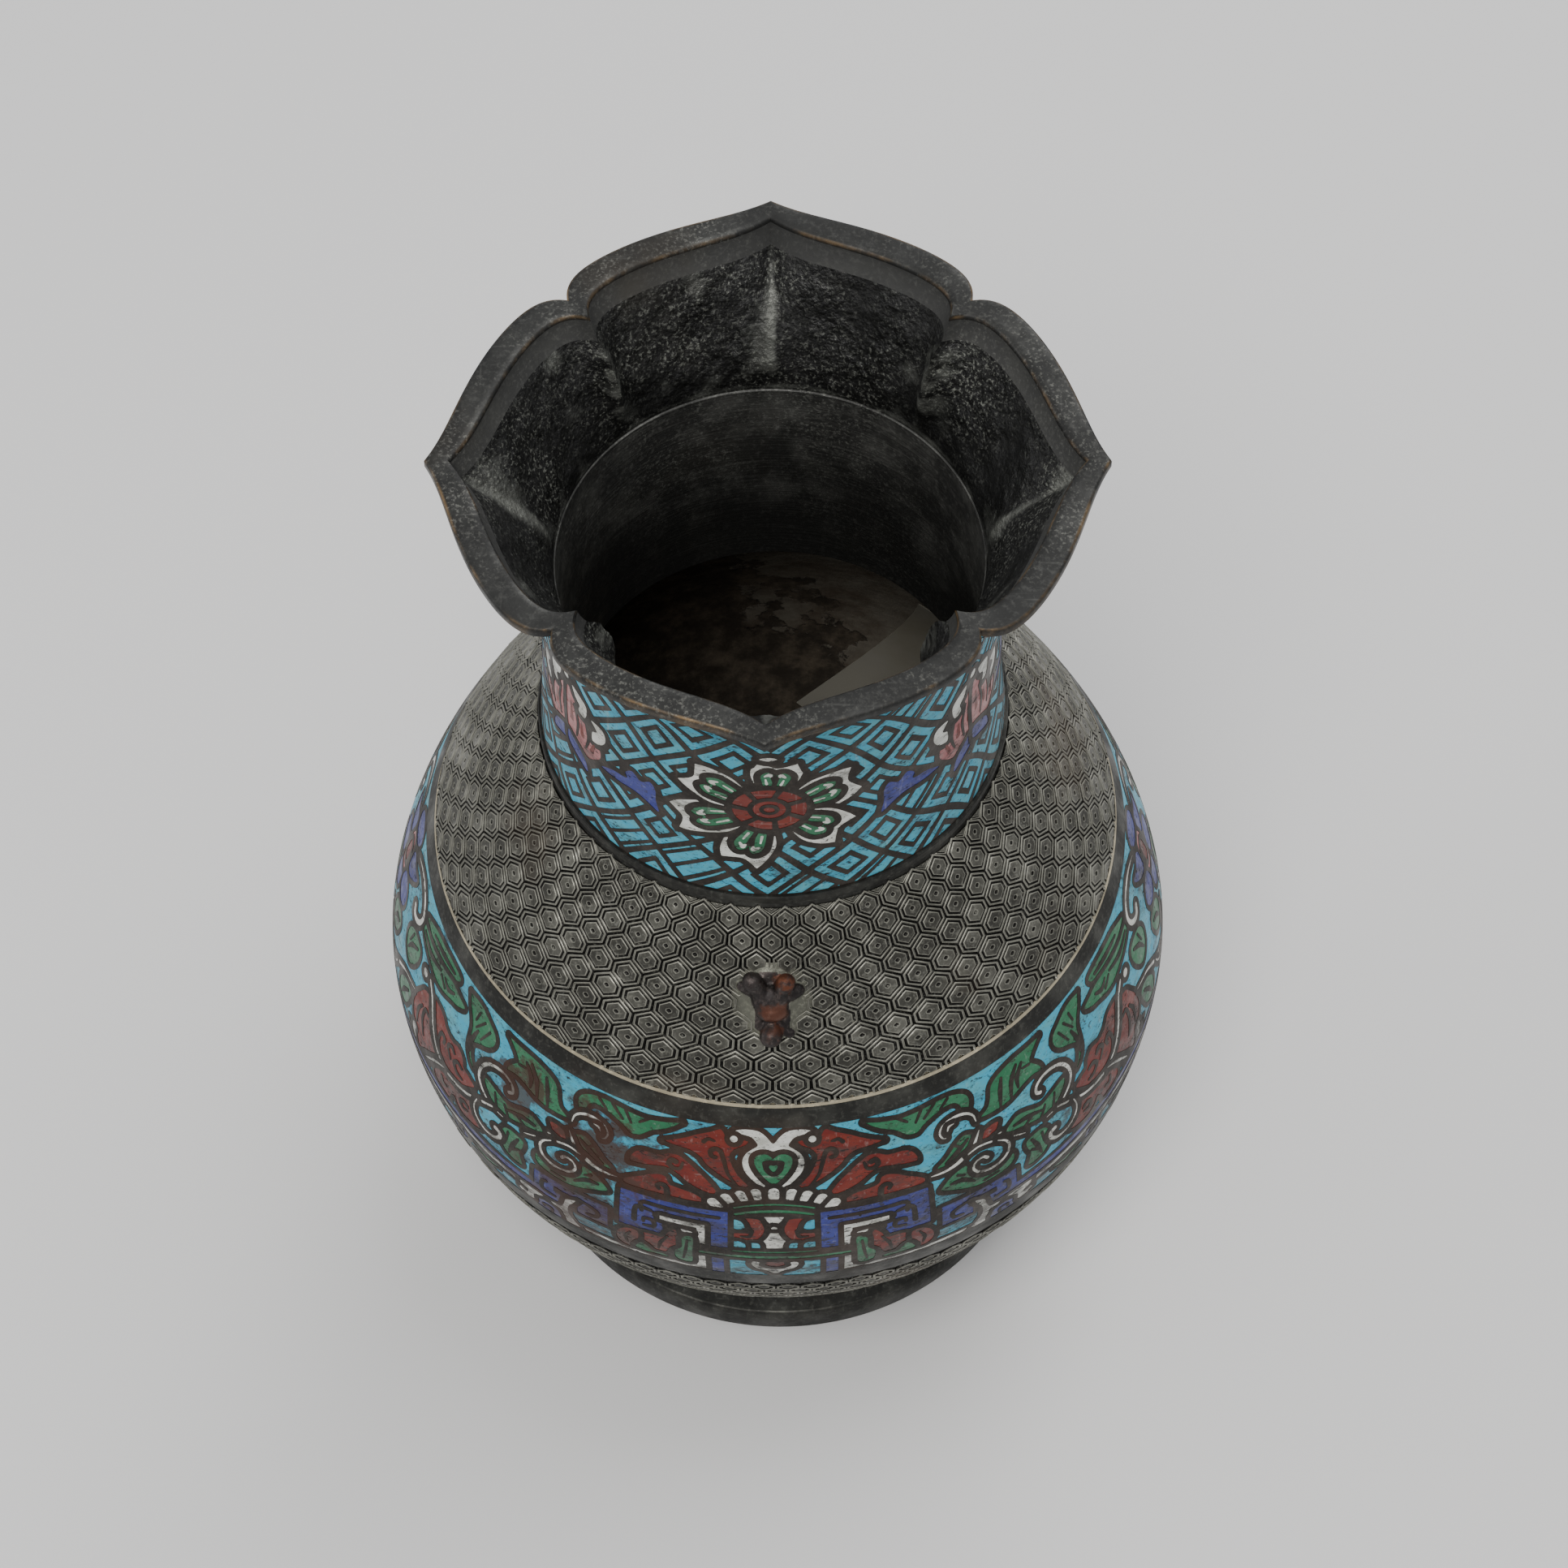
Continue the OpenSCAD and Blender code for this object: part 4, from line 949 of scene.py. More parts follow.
    # white stems and tendrils
    for width, path in (((0.5, 1.3, 0.9, 0.5), [(58.4, 15.0), (58.0, 12.6), (56.4, 10.9), (53.8, 10.0),
            (50.8, 10.1), (48.3, 11.3), (47.2, 13.3), (47.8, 15.2), (48.8, 15.7)]), ((0.5, 1.0, 0.5),
            [(51.8, 12.0), (50.2, 12.3), (49.6, 13.6)]), ((0.6, 1.4, 2.0, 1.4, 0.5), [(43, 27.2), (46.3,
            27.4), (49.8, 26.8), (53, 25.3), (55.8, 23.6), (57.4, 21), (58.7, 18.5)]), ((0.9, 1.0, 0.9,
            0.5), [(54.4, 25.0), (57.6, 24.2), (61.4, 24.9), (65.4, 26.6), (69, 28.4), (72.4, 30.0)]),
            ((0.6, 1.2, 1.4, 1.2, 0.9, 1.5), [(63.6, 26.0), (65.9, 27.7), (66.8, 30.1), (65.7, 33),
            (63, 34.7), (59.7, 34.9), (56.6, 33.7), (55.1, 31.3), (56.2, 29.2), (58.4, 28.8), (59.7,
            30.0)]), ((0.5, 1.3, 1.5, 1.3, 1.6), [(80, 30.6), (84.4, 30.2), (87.5, 28.8), (90.2, 26.3),
            (91.5, 23.4), (91.0, 19.9), (88.8, 17), (85.4, 15.6), (81.8, 15.7), (79.2, 17.2), (78.7,
            19.2), (79.9, 20.2)]), ((1.0, 1.6, 1.6, 1.3), [(84.4, 30.3), (89.7, 32.9), (94.7, 35.8),
            (100.4, 37.2), (105.4, 37.2), (109.2, 35.2), (112, 32.4), (114.2, 28.8), (116.1, 24.9),
            (118.2, 21), (121.4, 17.9)]), ((0.6, 1.5, 0.6), [(105.4, 37.3), (109.2, 39.6), (112, 42.2),
            (115.4, 45.6)]), ((0.5, 1.2, 1.6, 2.2), [(90.2, 33.2), (91.0, 36.4), (90.2, 39.4), (88.0,
            41.6), (85.2, 42.5), (82.2, 41.9), (80.3, 39.9), (80.4, 37.9), (82.0, 37.4)]), ((0.5, 1.6,
            2.0, 2.2, 2.6), [(156.4, 6.0), (152.5, 4.5), (148.2, 3.8), (144, 4.2), (140.4, 5.6), (137.9,
            7.7), (136.8, 9.9), (137.5, 12.4), (139.7, 14.1), (142.2, 14.3), (143.8, 12.9)]), ((0.6, 1.4,
            1.6, 0.7), [(127.5, 30.2), (134.7, 32.4), (139, 35.4), (143.4, 39.0), (147.8, 41.4), (153.6,
            43.0)]), ((0.6, 1.5, 0.7), [(143.2, 39.2), (145.6, 43.2), (150.0, 46.2), (157.4, 46.0),
            (162.4, 42.4)]), ((0.6, 1.2, 1.6), [(153.6, 43.0), (158.4, 40.0), (161.4, 36.2)])):
        stroke(sheet, "white", path, *[0.8 * w for w in width])
    dot(sheet, "white", 124.9, 18.7, 1.4)
    return sheet


bandLevels = np.linspace(bandTop, bandBottom, 200)
bandLengths = skinLengths(bandLevels)
bandPlaces = bandLengths / bandLengths[-1] * bellyEnamel["tall"]


# where a point of the belly's skin is, sunk below the surface by depth
def onBelly(u, v, depth):
    z = float(np.interp(v, bandPlaces, bandLevels))
    slope = bodyR(z + 0.5) - bodyR(z - 0.5)
    lean = math.hypot(1, slope)
    return around(bodyR(z) - depth / lean, -90 + math.degrees(u / bellyEnamel["radius"]), z + depth
        * slope / lean)


neckEnamel = {"radius": 59.34, "line": 1.85, "top": 0.1, "bottom": 0.78, "highest": 302.0, "lozenges": 19,
    "lozengeTall": 9.2, "band": 2.1, "gap": 1.5, "petals": [(7, 19.2, 6.4), (70, 23.6, 6.6), (122, 22.6,
    6.6), (199, 23.6, 6.4), (250, 26.0, 6.2), (297, 23.6, 6.4)]}


# the key-fret ground: lozenges of a band round a core, drawn by hand and so a little wavy
def lozenges(sheet):
    size, turn = neckEnamel, 1 / neckEnamel["radius"]
    wide = math.pi * size["radius"] / size["lozenges"]
    gridU, gridV = np.meshgrid(sheet["us"], sheet["vs"])
    edge = sheet["vs"][-1] - gridV - 0.4
    gridU, gridV = (gridU + 0.9 * np.sin(gridV / 6.5) + 0.5 * np.sin(gridU * turn * 12), gridV + 0.9
        * np.sin(gridU * turn * 8) + 0.5 * np.sin(gridV / 4.3 + gridU * turn * 5))
    s = gridU / wide + gridV / size["lozengeTall"]
    t = gridU / wide - gridV / size["lozengeTall"]
    cellS, cellT = np.floor((s + 1) / 2), np.floor((t + 1) / 2)
    s, t = s - 2 * cellS, t - 2 * cellT
    scale = wide * size["lozengeTall"] / math.hypot(wide, size["lozengeTall"])
    deep = (1 - np.maximum(np.abs(s), np.abs(t))) * scale
    half = size["line"] / 2
    ring = np.minimum(deep - half, half + size["band"] - deep)
    core = deep - half - size["band"] - size["gap"]
    bars = np.minimum(deep - half, np.abs((s * scale + scale) % (scale * 2 / 3) - scale / 3) - 0.6)
    kind = (cellS * 3 + cellT * 5) % size["lozenges"]
    field = np.where((kind == 2) | (kind == 9) | (kind == 13), bars, np.maximum(ring, core))
    sheet["fields"]["turquoise"][:] = np.minimum(field, edge)


# a lotus seen full face, centred at u and at a height
def paintLotus(sheet, u, z, turnBy=0):
    def at(x, y, degrees):
        turn = math.radians(degrees + turnBy)
        return (u + x * math.cos(turn) + y * math.sin(turn), neckEnamel["highest"] - z - y
            * math.cos(turn) + x * math.sin(turn))
    inner = 8.6
    for degrees, tip, wide in neckEnamel["petals"]:
        white = [(-3.4, inner), (-wide * 0.92, inner + 3.6), (-wide, inner + 7.2), (-wide * 0.88,
            tip - 2.4), (-wide * 0.72, tip + 0.6), (-wide * 0.72, tip + 0.6), (-wide * 0.34, tip - 1.2),
            (0, tip - 2.0), (wide * 0.38, tip - 1.2), (wide * 0.78, tip), (wide * 0.78, tip), (wide * 1.0,
            tip - 3.2), (wide * 1.06, inner + 6.8), (wide * 0.92, inner + 3.4), (3.4, inner)]
        fill(sheet, "white", [at(x, y, degrees) for x, y in white])
        reach = tip - 2.0 - inner
        leaf = [(-1.9, inner + 0.2), (-wide * 0.52, inner + reach * 0.35), (-wide * 0.56, inner + reach
            * 0.62), (-wide * 0.34, inner + reach * 0.78), (-0.7, inner + reach * 0.72),
            (0, inner + reach * 0.6), (0.7, inner + reach * 0.72), (wide * 0.36, inner + reach * 0.78),
            (wide * 0.62, inner + reach * 0.6), (wide * 0.55, inner + reach * 0.33), (1.9, inner + 0.2)]
        fill(sheet, "green", [at(x, y, degrees) for x, y in leaf])
        for side in (-1, 1):
            stroke(sheet, "white", [at(side * x, y, degrees) for x, y in ((1.0, inner + reach * 0.56),
                (wide * 0.22, inner + reach * 0.66), (wide * 0.4, inner + reach * 0.56))], 0.7, 1.3, 0.7,
                gap=0)
            stroke(sheet, "white", [at(side * x, y, degrees) for x, y in ((wide * 0.36, inner + reach
                * 0.42), (wide * 0.28, inner + reach * 0.2))], 0.5, 0.8, gap=0)
        stroke(sheet, None, [at(0, inner + 0.6, degrees), at(0.2, inner + reach * 0.3, degrees), at(0,
            inner + reach * 0.5, degrees)], 0.7, 0.9, 1.5)
    middle = neckEnamel["highest"] - z
    oval = lambda wide, tall, lean=0: [(u + wide * math.cos(a + lean), middle + tall * math.sin(a
        + lean)) for a in (2 * math.pi * i / 14 for i in range(14))]
    fill(sheet, "red", oval(9.5, 8.1))
    ring = oval(4.9, 4.2)
    stroke(sheet, None, ring + ring[:1], 1.0, 1.0)
    for i in range(7):
        turn = math.radians(turnBy + 24 + i * 360 / 7)
        stroke(sheet, None, [(u + 4.9 * math.cos(turn), middle + 4.2 * math.sin(turn)),
            (u + 9.8 * math.cos(turn + 0.1), middle + 8.4 * math.sin(turn + 0.1))], 0.9, 1.2)
    ring = oval(2.0, 1.6)
    stroke(sheet, None, ring + ring[:1], 0.7, 0.9)


# a pink blossom seen from the side between blue leaves, the same on both sides of u
def paintSideFlower(sheet, u):
    at = lambda side, spots: [(u + side * x, neckEnamel["highest"] - z) for x, z in spots]
    for side in (-1, 1):
        fill(sheet, "blue", at(side, [(32.2, 243.1), (30.6, 245.6), (27.9, 243.9), (25.2, 246.0), (22.9,
            243.9), (23.3, 241.8), (18.6, 241.0), (13.8, 238.4), (13.8, 238.4), (20.2, 238.2), (25.6,
            238.4), (29.5, 236.9), (33.0, 234.8), (32.2, 239.2)]))
        fill(sheet, "pink", at(side, [(0, 256.5), (3, 256.3), (5.2, 252.2), (8.0, 251.2), (10.4, 246.8),
            (13.8, 245.2), (14.2, 241.4), (11.5, 238.2), (8.8, 236.6), (5, 238.2), (0, 240)]))
        fill(sheet, "white", at(side, [(15.3, 254.0), (10.9, 254.0), (13.0, 251.2), (11.2, 249.5), (11.2,
            245.8), (14.4, 247.0), (16.4, 250.5)]))
        fill(sheet, "white", at(side, [(8.6, 258.2), (3.1, 260.2), (4.0, 256.7), (6.0, 254.9), (5.4,
            252.2), (8.0, 251.6), (9.3, 255)]))
        stroke(sheet, None, at(side, [(8.6, 249.4), (9.6, 244.8), (8.4, 240.2)]), 0.5, 0.9, 0.5)
        stroke(sheet, None, at(side, [(3.4, 252.6), (5.0, 246.6), (4.2, 240.6)]), 0.5, 0.9, 0.5)
        stroke(sheet, "red", at(side, [(6.6, 247.6), (6.8, 243.2)]), 1.0, 1.8, gap=0)
        stroke(sheet, "red", at(side, [(1.8, 252), (2.0, 245.2)]), 0.8, 1.8, gap=0)
        stroke(sheet, "red", at(side, [(11.8, 244.4), (10.6, 240.6)]), 0.8, 1.6, gap=0)
        fill(sheet, "blue", at(side, [(8.9, 230.4), (7.8, 234.6), (3.4, 237.6), (0, 238.6), (0, 234.6),
            (4.2, 232.4)]))
    dot(sheet, "white", u, neckEnamel["highest"] - 261.4, 1.4)


# the whole neck band, from the back round by the left to the front and on
def paintNeck():
    radius, high = neckEnamel["radius"], neckEnamel["highest"]
    sheet = newSheet(2 * math.pi * radius, high - collarTop, neckEnamel["line"], ground=None)
    lozenges(sheet)
    sixth = math.pi * radius / 3
    for i in (0, 2, 4, 6):
        paintSideFlower(sheet, i * sixth)
    for i, lean in ((1, 14), (3, 0), (5, -9)):
        paintLotus(sheet, i * sixth, 245.4, lean)
        fill(sheet, "white", [(i * sixth + u, high - z) for u, z in ((-2.4, 266.2), (0, 267.0), (2.4,
            266.2), (0, 265.3))])
    return sheet


def onNeck(u, v, depth):
    z = neckEnamel["highest"] - v
    degrees = 90 + math.degrees(u / neckEnamel["radius"])
    return around(neckOutside(degrees, z) - depth, degrees, z)


# castings


# gives a second material to the faces that pass a test of radius, height and normal
def paintWhere(piece, material, test):
    piece.data.materials.append(material)
    added = len(piece.data.materials) - 1
    for face in piece.data.polygons:
        centre = face.center / mm
        if test(math.hypot(centre.x, centre.y), centre.z, face.normal):
            face.material_index = added


wall = vaseForm["wall"]
lap, lapGap = 4, 0.1

shoulderOutline = ([(bodyR(z), z) for z in between(jointHigh, 159, 1.2)] + [(bodyR(159.5) - 0.1, 159.5)]
    + [(bodyR(z) - 0.5, z) for z in between(159.9, 206.9, 1.5)] + [(bodyR(207.1), 207.1),
    (vaseForm["neckR"], neckZ), (vaseForm["neckR"] - wall, neckZ)] + [(bodyR(z) - wall, z)
    for z in between(202.5, jointHigh + lap, 1.6)] + [(bodyR(z) - wall / 2, z) for z in between(jointHigh
    + lap, jointHigh, 1.6)])
bellyOutline = ([(bodyR(z), z) for z in between(jointLow, bandBottom, 1)] + [(bodyR(z) - 0.8, z)
    for z in between(bandBottom, bandTop, 1.5)] + [(bodyR(z), z) for z in between(bandTop, jointHigh, 1)]
    + [(bodyR(z) - wall / 2 - lapGap, z) for z in between(jointHigh, jointHigh + lap, 1.6)] + [(bodyR(z)
    - wall, z) for z in between(jointHigh + lap, jointLow + lap, 1.6)] + [(bodyR(z) - wall / 2, z)
    for z in between(jointLow + lap, jointLow, 1.6)])
lowerOutline = ([(bodyR(z), z) for z in between(28, diaperBottom, 1.5)] + [(bodyR(z) - 0.5, z)
    for z in between(diaperBottom + 0.1, diaperTop - 0.1, 1.5)] + [(bodyR(z), z)
    for z in between(diaperTop, jointLow, 1.2)] + [(bodyR(z) - wall / 2 - lapGap, z)
    for z in between(jointLow, jointLow + lap, 1.6)] + [(bodyR(z) - wall, z) for z in between(jointLow
    + lap, 28, 1.6)])
neckOutline = ([(52, 202.5), (54.4, 202.5), (54.4, neckZ), (59.1, neckZ), (59.5, neckZ + 0.4), (59.5,
    collarTop - 0.4), (59.2, collarTop)] + [(tubeR(z) - 0.8, z) for z in between(collarTop, mouthZ, 2)]
    + [(52, mouthZ), (52, 269.7), (51.7, 269.4), (51.7, 269), (52, 268.7)] + [(52, z)
    for z in between(267, 203, 2)])
footCurve = [(vaseForm["footR"] - (vaseForm["footR"] - vaseForm["waistR"]) * (1 - (1 - t) ** 2.2),
    vaseForm["footRim"] + (vaseForm["waistZ"] - vaseForm["footRim"]) * t) for t in (i / 16
    for i in range(17))]
footRise = vaseForm["waistZ"] - vaseForm["footRim"]
footPlate = {"r": 65.5, "low": 24.5, "high": 27}


# the foot's inside leans in to the plate's seat as its outside does to the waist
def footInside(z):
    shareOf = lambda height: 1 - (1 - (height - vaseForm["footRim"]) / footRise) ** 2.2
    inside = vaseForm["footR"] - vaseForm["footWall"]
    return inside - (inside - footPlate["r"] - 0.1) * shareOf(z) / shareOf(footPlate["low"])


footOutline = ([(73.5, 0), (74.2, 0.3), (74.5, 1.0), (74.5, 8.8), (74.2, 9.6), (73.5, 10)]
    + [(r - 1 + z / 28, z) for r, z in footCurve] + [(62.5, vaseForm["waistZ"]), (62.5,
    footPlate["high"]), (65.6, footPlate["high"])] + [(footInside(z), z)
    for z in between(footPlate["low"], vaseForm["footRim"], 1.5)] + [(vaseForm["footR"]
    - vaseForm["footWall"], 0)])
castings = {"shoulder": shoulderOutline, "belly": bellyOutline, "lowerBody": lowerOutline}
cadNames = {"shoulder": "shoulder", "belly": "belly", "lowerBody": "lower_body"}
crustDepth = 3.2
for name, outline in castings.items():
    casting = turned(name + "Casting", outline, bronzeSkin, [cadNames[name]])
    paintWhere(casting, innerCrust, lambda r, z, n: r < bodyR(z) - crustDepth)
neck = turned("neckCasting", neckOutline, bronzeSkin, ["neck"])
paintWhere(neck, bronzeBore, lambda r, z, n: r < 52.6)
turned("footRing", footOutline, bronzeSkin, ["foot_ring"])
plateRings = (0.2, 20, 40, 60)
plateEdge = [(65.45, footPlate["low"]), (footPlate["r"], footPlate["low"]), (footPlate["r"], 26.8), (65.3,
    footPlate["high"])]
plateOutline = (plateEdge + [(r, footPlate["high"]) for r in plateRings[::-1]] + [(r, footPlate["low"])
    for r in plateRings])
basePlate = turned("basePlate", plateOutline, bronzeSkin, ["base_plate"])
paintWhere(basePlate, innerCrust, lambda r, z, n: n.z > 0.5)
paintWhere(bpy.data.objects["shoulderCasting"], wornLedge, lambda r, z, n: r > bodyR(z) - 1
    and 158.9 < z < 161.6)
print("castings turned")


# the lip and the flared mouth follow the barbed outline
def ringPiece(name, sectionAt, steps, material, nodes, marks):
    sections = [sectionAt(360 * i / steps) for i in range(steps)]
    count = len(sections[0])
    verts = [around(r, 360 * i / steps, z) for i, section in enumerate(sections) for r, z in section]
    faces = [(i * count + j, ((i + 1) % steps) * count + j, ((i + 1) % steps) * count + (j + 1) % count,
        i * count + (j + 1) % count) for i in range(steps) for j in range(count)]
    piece = makePiece(name, verts, faces, material, nodes, sharp=50)
    for label, values in marks.items():
        piece.data.attributes.new(label, "FLOAT", "POINT").data.foreach_set("value", values)
    return piece


def lipSection(degrees):
    inner, outer = lipInner(degrees), lipOuter(degrees)
    low = lipZ - vaseForm["bevelHeight"]
    lean = vaseForm["bevelWidth"]
    bevel = [(inner - lean * (1 - t) ** 1.4, low + (topZ - 0.5 - low) * t) for t in (i / 8
        for i in range(9))]
    return ([(outer - vaseForm["overhang"] - 2, lipZ), (outer - 0.4, lipZ), (outer, lipZ + 0.4), (outer,
        topZ - 0.7), (outer - 0.2, topZ - 0.2), (outer - 0.8, topZ), (outer - 2.2, topZ), (inner + 2.2,
        topZ), (inner + 0.6, topZ), (inner, topZ - 0.5)] + bevel[::-1][1:] + [(inner - lean + 1, low)])


def roughAt(degrees, z, size, seed):
    turn = math.radians(degrees)
    return noise.noise(Vector((60 * math.cos(turn), 60 * math.sin(turn), z + seed)) / size)


# the rough inside of one lobe: two hollows, a ridge down from the point, and a rib at each notch
def lobeRelief(degrees, share):
    away = fromTip(degrees)
    hollow = math.exp(-((away - 19) / 9) ** 2) * math.exp(-((share - 0.58) / 0.3) ** 2)
    spread = 0.9 + 5.4 * (1 - share) ** 2
    ridge = math.exp(-(away / spread) ** 2) * math.exp(-((share - 0.42) / 0.26) ** 4)
    crease = math.exp(-(away / 2.0) ** 2) * max(0, share - 0.45)
    rib = math.exp(-((45 - away) / (2.0 + 2.2 * share)) ** 2) * math.exp(-((share - 0.6) / 0.36) ** 4)
    return hollow, ridge, crease, rib


mouthDepths = {"hollow": 1.4, "ridge": 1.7, "crease": 1.2, "rib": 3.0, "steps": 44}


def mouthInside(degrees, share):
    low = lipZ - vaseForm["bevelHeight"]
    z = mouthZ + (low - mouthZ) * share
    reach = lipInner(degrees) - vaseForm["bevelWidth"] - vaseForm["boreR"]
    hollow, ridge, crease, rib = lobeRelief(degrees, share)
    size = mouthDepths
    shape = size["hollow"] * hollow - size["ridge"] * ridge + size["crease"] * crease - size["rib"] * rib
    rough = 0.5 * roughAt(degrees, z, 5, 3) + 0.3 * roughAt(degrees, z, 2, 9) + 0.17 * roughAt(degrees, z,
        0.9, 21)
    fade = min(1, share * 6) * min(1, (1 - share) * 12)
    radius = vaseForm["boreR"] + reach * share ** vaseForm["flarePower"] + fade * (shape + rough
        * (1 - 0.6 * ridge))
    line = math.exp(-(fromTip(degrees) / 1.1) ** 2) * min(1, share * 2.5)
    knobbly = rib * max(0, roughAt(degrees, z, 2.4, 70) + 0.35)
    mark = 0.45 + 0.3 * ridge + 0.3 * line + 0.9 * knobbly - 0.5 * hollow + 0.5 * roughAt(degrees, z, 7,
        40)
    mark += 0.35 * math.exp(-((share - 0.03) / 0.02) ** 2)
    return (radius, z), max(0, min(1, mark))


def mouthSection(degrees):
    low = lipZ - vaseForm["bevelHeight"]
    enamelTop = lipZ - 3
    under = [(neckOutside(degrees, z) - 0.8, z) for z in between(mouthZ, enamelTop, 2)]
    rim = [(neckOutside(degrees, enamelTop), enamelTop + 0.1), (neckOutside(degrees, lipZ) - 0.2, lipZ),
        (lipOuter(degrees) - vaseForm["overhang"] - 2, lipZ), (lipInner(degrees) - vaseForm["bevelWidth"]
        + 1, low)]
    steps = mouthDepths["steps"]
    return under + rim + [mouthInside(degrees, 1 - i / steps)[0] for i in range(steps + 1)]


ringSteps = 720
edgeMarks = [0, 0.1, 0.35, 0.15, 0.6, 0, 0, 0, 0, 0.5, 0] + [0] * 8
# the lip's brass edges: worn along the rim, and raised near each tip and notch as a painted glint
lipWearAndGlint = []
for i in range(ringSteps):
    near = math.exp(-fromTip(i * 360 / ringSteps) / 0.8) + math.exp(-(45 - fromTip(i
        * 360 / ringSteps)) / 1.2)
    lipWearAndGlint += [min(1, mark * (1 + 2 * near)) for mark in edgeMarks]
lip = ringPiece("barbedLip", lipSection, ringSteps, bronzeRim, ["lip"], {"edge": lipWearAndGlint})
# the bevel's faces take the paler bevel bronze, a painted sheen on smoother metal
lip.data.materials.append(bronzeBevelSheen)
for face in lip.data.polygons:
    if 10 <= face.index % len(edgeMarks) <= 17:
        face.material_index = 1
mouthMarks = []
outside = len(mouthSection(0)) - mouthDepths["steps"] - 1
for i in range(ringSteps):
    degrees = i * 360 / ringSteps
    mouthMarks += [0.4] * outside
    mouthMarks += [mouthInside(degrees, 1 - j / mouthDepths["steps"])[1]
        for j in range(mouthDepths["steps"] + 1)]
ringPiece("flaredMouth", mouthSection, ringSteps, bronzeRough, ["mouth"],
    {"rise": mouthMarks})
print("mouth made")


# the enamelled bands: one piece for each colour and one for the metal lines between them


def enamelBand(name, sheet, place, repeats, size, nodes):
    flat, found = cutSheet(sheet)
    for colour, triangles in found.items():
        top = 0.0 if colour == "metal" else size["top"]
        verts, faces = inlay(flat, triangles, sheet["us"][-1], place, repeats, top, size["bottom"])
        material = bronzeLines if colour == "metal" else enamels[colour]
        makePiece(name + colour.capitalize(), verts, faces, material, nodes.get(colour, ()),
            sharp=40)
    print(name, "band:", {colour: len(t) for colour, t in found.items()})


quarter = math.pi * bellyEnamel["radius"] / 2
enamelBand("belly", paintBelly(), onBelly, [(0, False), (0, True), (2 * quarter, False), (2 * quarter,
    True)], bellyEnamel, {colour: ["belly_enamel_" + colour] for colour in ("turquoise", "white", "green",
    "red", "blue")})
neckNodes = {colour: ["neck_enamel_" + colour] for colour in ("white", "green", "red", "blue", "pink")}
neckNodes["turquoise"] = ["neck_enamel_turquoise", "mouth_enamel_turquoise"]
enamelBand("neck", paintNeck(), onNeck, [(0, False)], neckEnamel, neckNodes)


# The hexagon diaper. A tile is one cell: a raised ring, a groove, and a boss with a pit.
def hexTile(name, wide, tall, sides, rings, half=0):
    corners = [(wide / 2, sides), (0, tall), (-wide / 2, sides), (-wide / 2, -sides), (0, -tall),
        (wide / 2, -sides)]
    if half:
        corners = [(wide / 2, 0), (wide / 2, sides), (0, tall), (-wide / 2, sides), (-wide / 2, 0),
            (0, 0)]
        corners = [(x * half, y * half) for x, y in corners]
    verts, faces, wearAndEdgeHighlight = [], [], []
    for scale, rise, wear in rings:
        for x, y in corners:
            verts.append((x * scale * mm, y * scale * mm, rise * diaper["height"] * mm))
            wearAndEdgeHighlight.append(wear)
    count = len(rings)
    for ring in range(count - 1):
        for i in range(6):
            a, b = ring * 6 + i, ring * 6 + (i + 1) % 6
            faces.append((a, b, b + 6, a + 6))
    verts.append((0, 0, rings[-1][1] * diaper["height"] * mm))
    wearAndEdgeHighlight.append(rings[-1][2])
    for i in range(6):
        faces.append(((count - 1) * 6 + i, (count - 1) * 6 + (i + 1) % 6, len(verts) - 1))
    start = len(verts)
    for x, y in corners:
        verts.append((x * mm, y * mm, -0.15 * mm))
        wearAndEdgeHighlight.append(0)
    for i in range(6):
        faces.append((start + (i + 1) % 6, (i + 1) % 6, i, start + i))
    faces.append(tuple(start + 5 - i for i in range(6)))
    mesh = bpy.data.meshes.new(name)
    mesh.from_pydata(verts, [], faces)
    mesh.attributes.new("rise", "FLOAT", "POINT").data.foreach_set("value", wearAndEdgeHighlight)
    mesh.shade_smooth()
    return bpy.data.objects.new(name, mesh)


# each ring of a tile is its share of the cell, its height and how worn it is; a wear above 1 on a ring's
# edge is painted highlight
diaper = {"height": 0.62, "cellsAround": 56, "smallCells": 100, "rows": 9, "smallRows": 10, "seed": 4,
    "wear": 0.3, "firstRow": 203.4, "rings": [(1.0, 0.0, 0.0), (0.92, 0.0, 0.0), (0.895, 1.0, 1.3), (0.86,
    0.97, 0.6), (0.8, 0.95, 1.15), (0.77, 0.0, 0.0), (0.635, 0.0, 0.0), (0.6, 0.95, 1.3), (0.54, 0.88,
    0.68), (0.22, 0.82, 0.66), (0.17, 0.88, 1.1), (0.1, 0.0, 0.0)], "smallRings": [(1.0, 0.0, 0.0), (0.9,
    1.0, 1.0), (0.74, 0.95, 0.8), (0.66, 0.1, 0.0), (0.5, 0.1, 0.0), (0.42, 0.8, 0.9), (0.12, 0.4, 0.2)]}


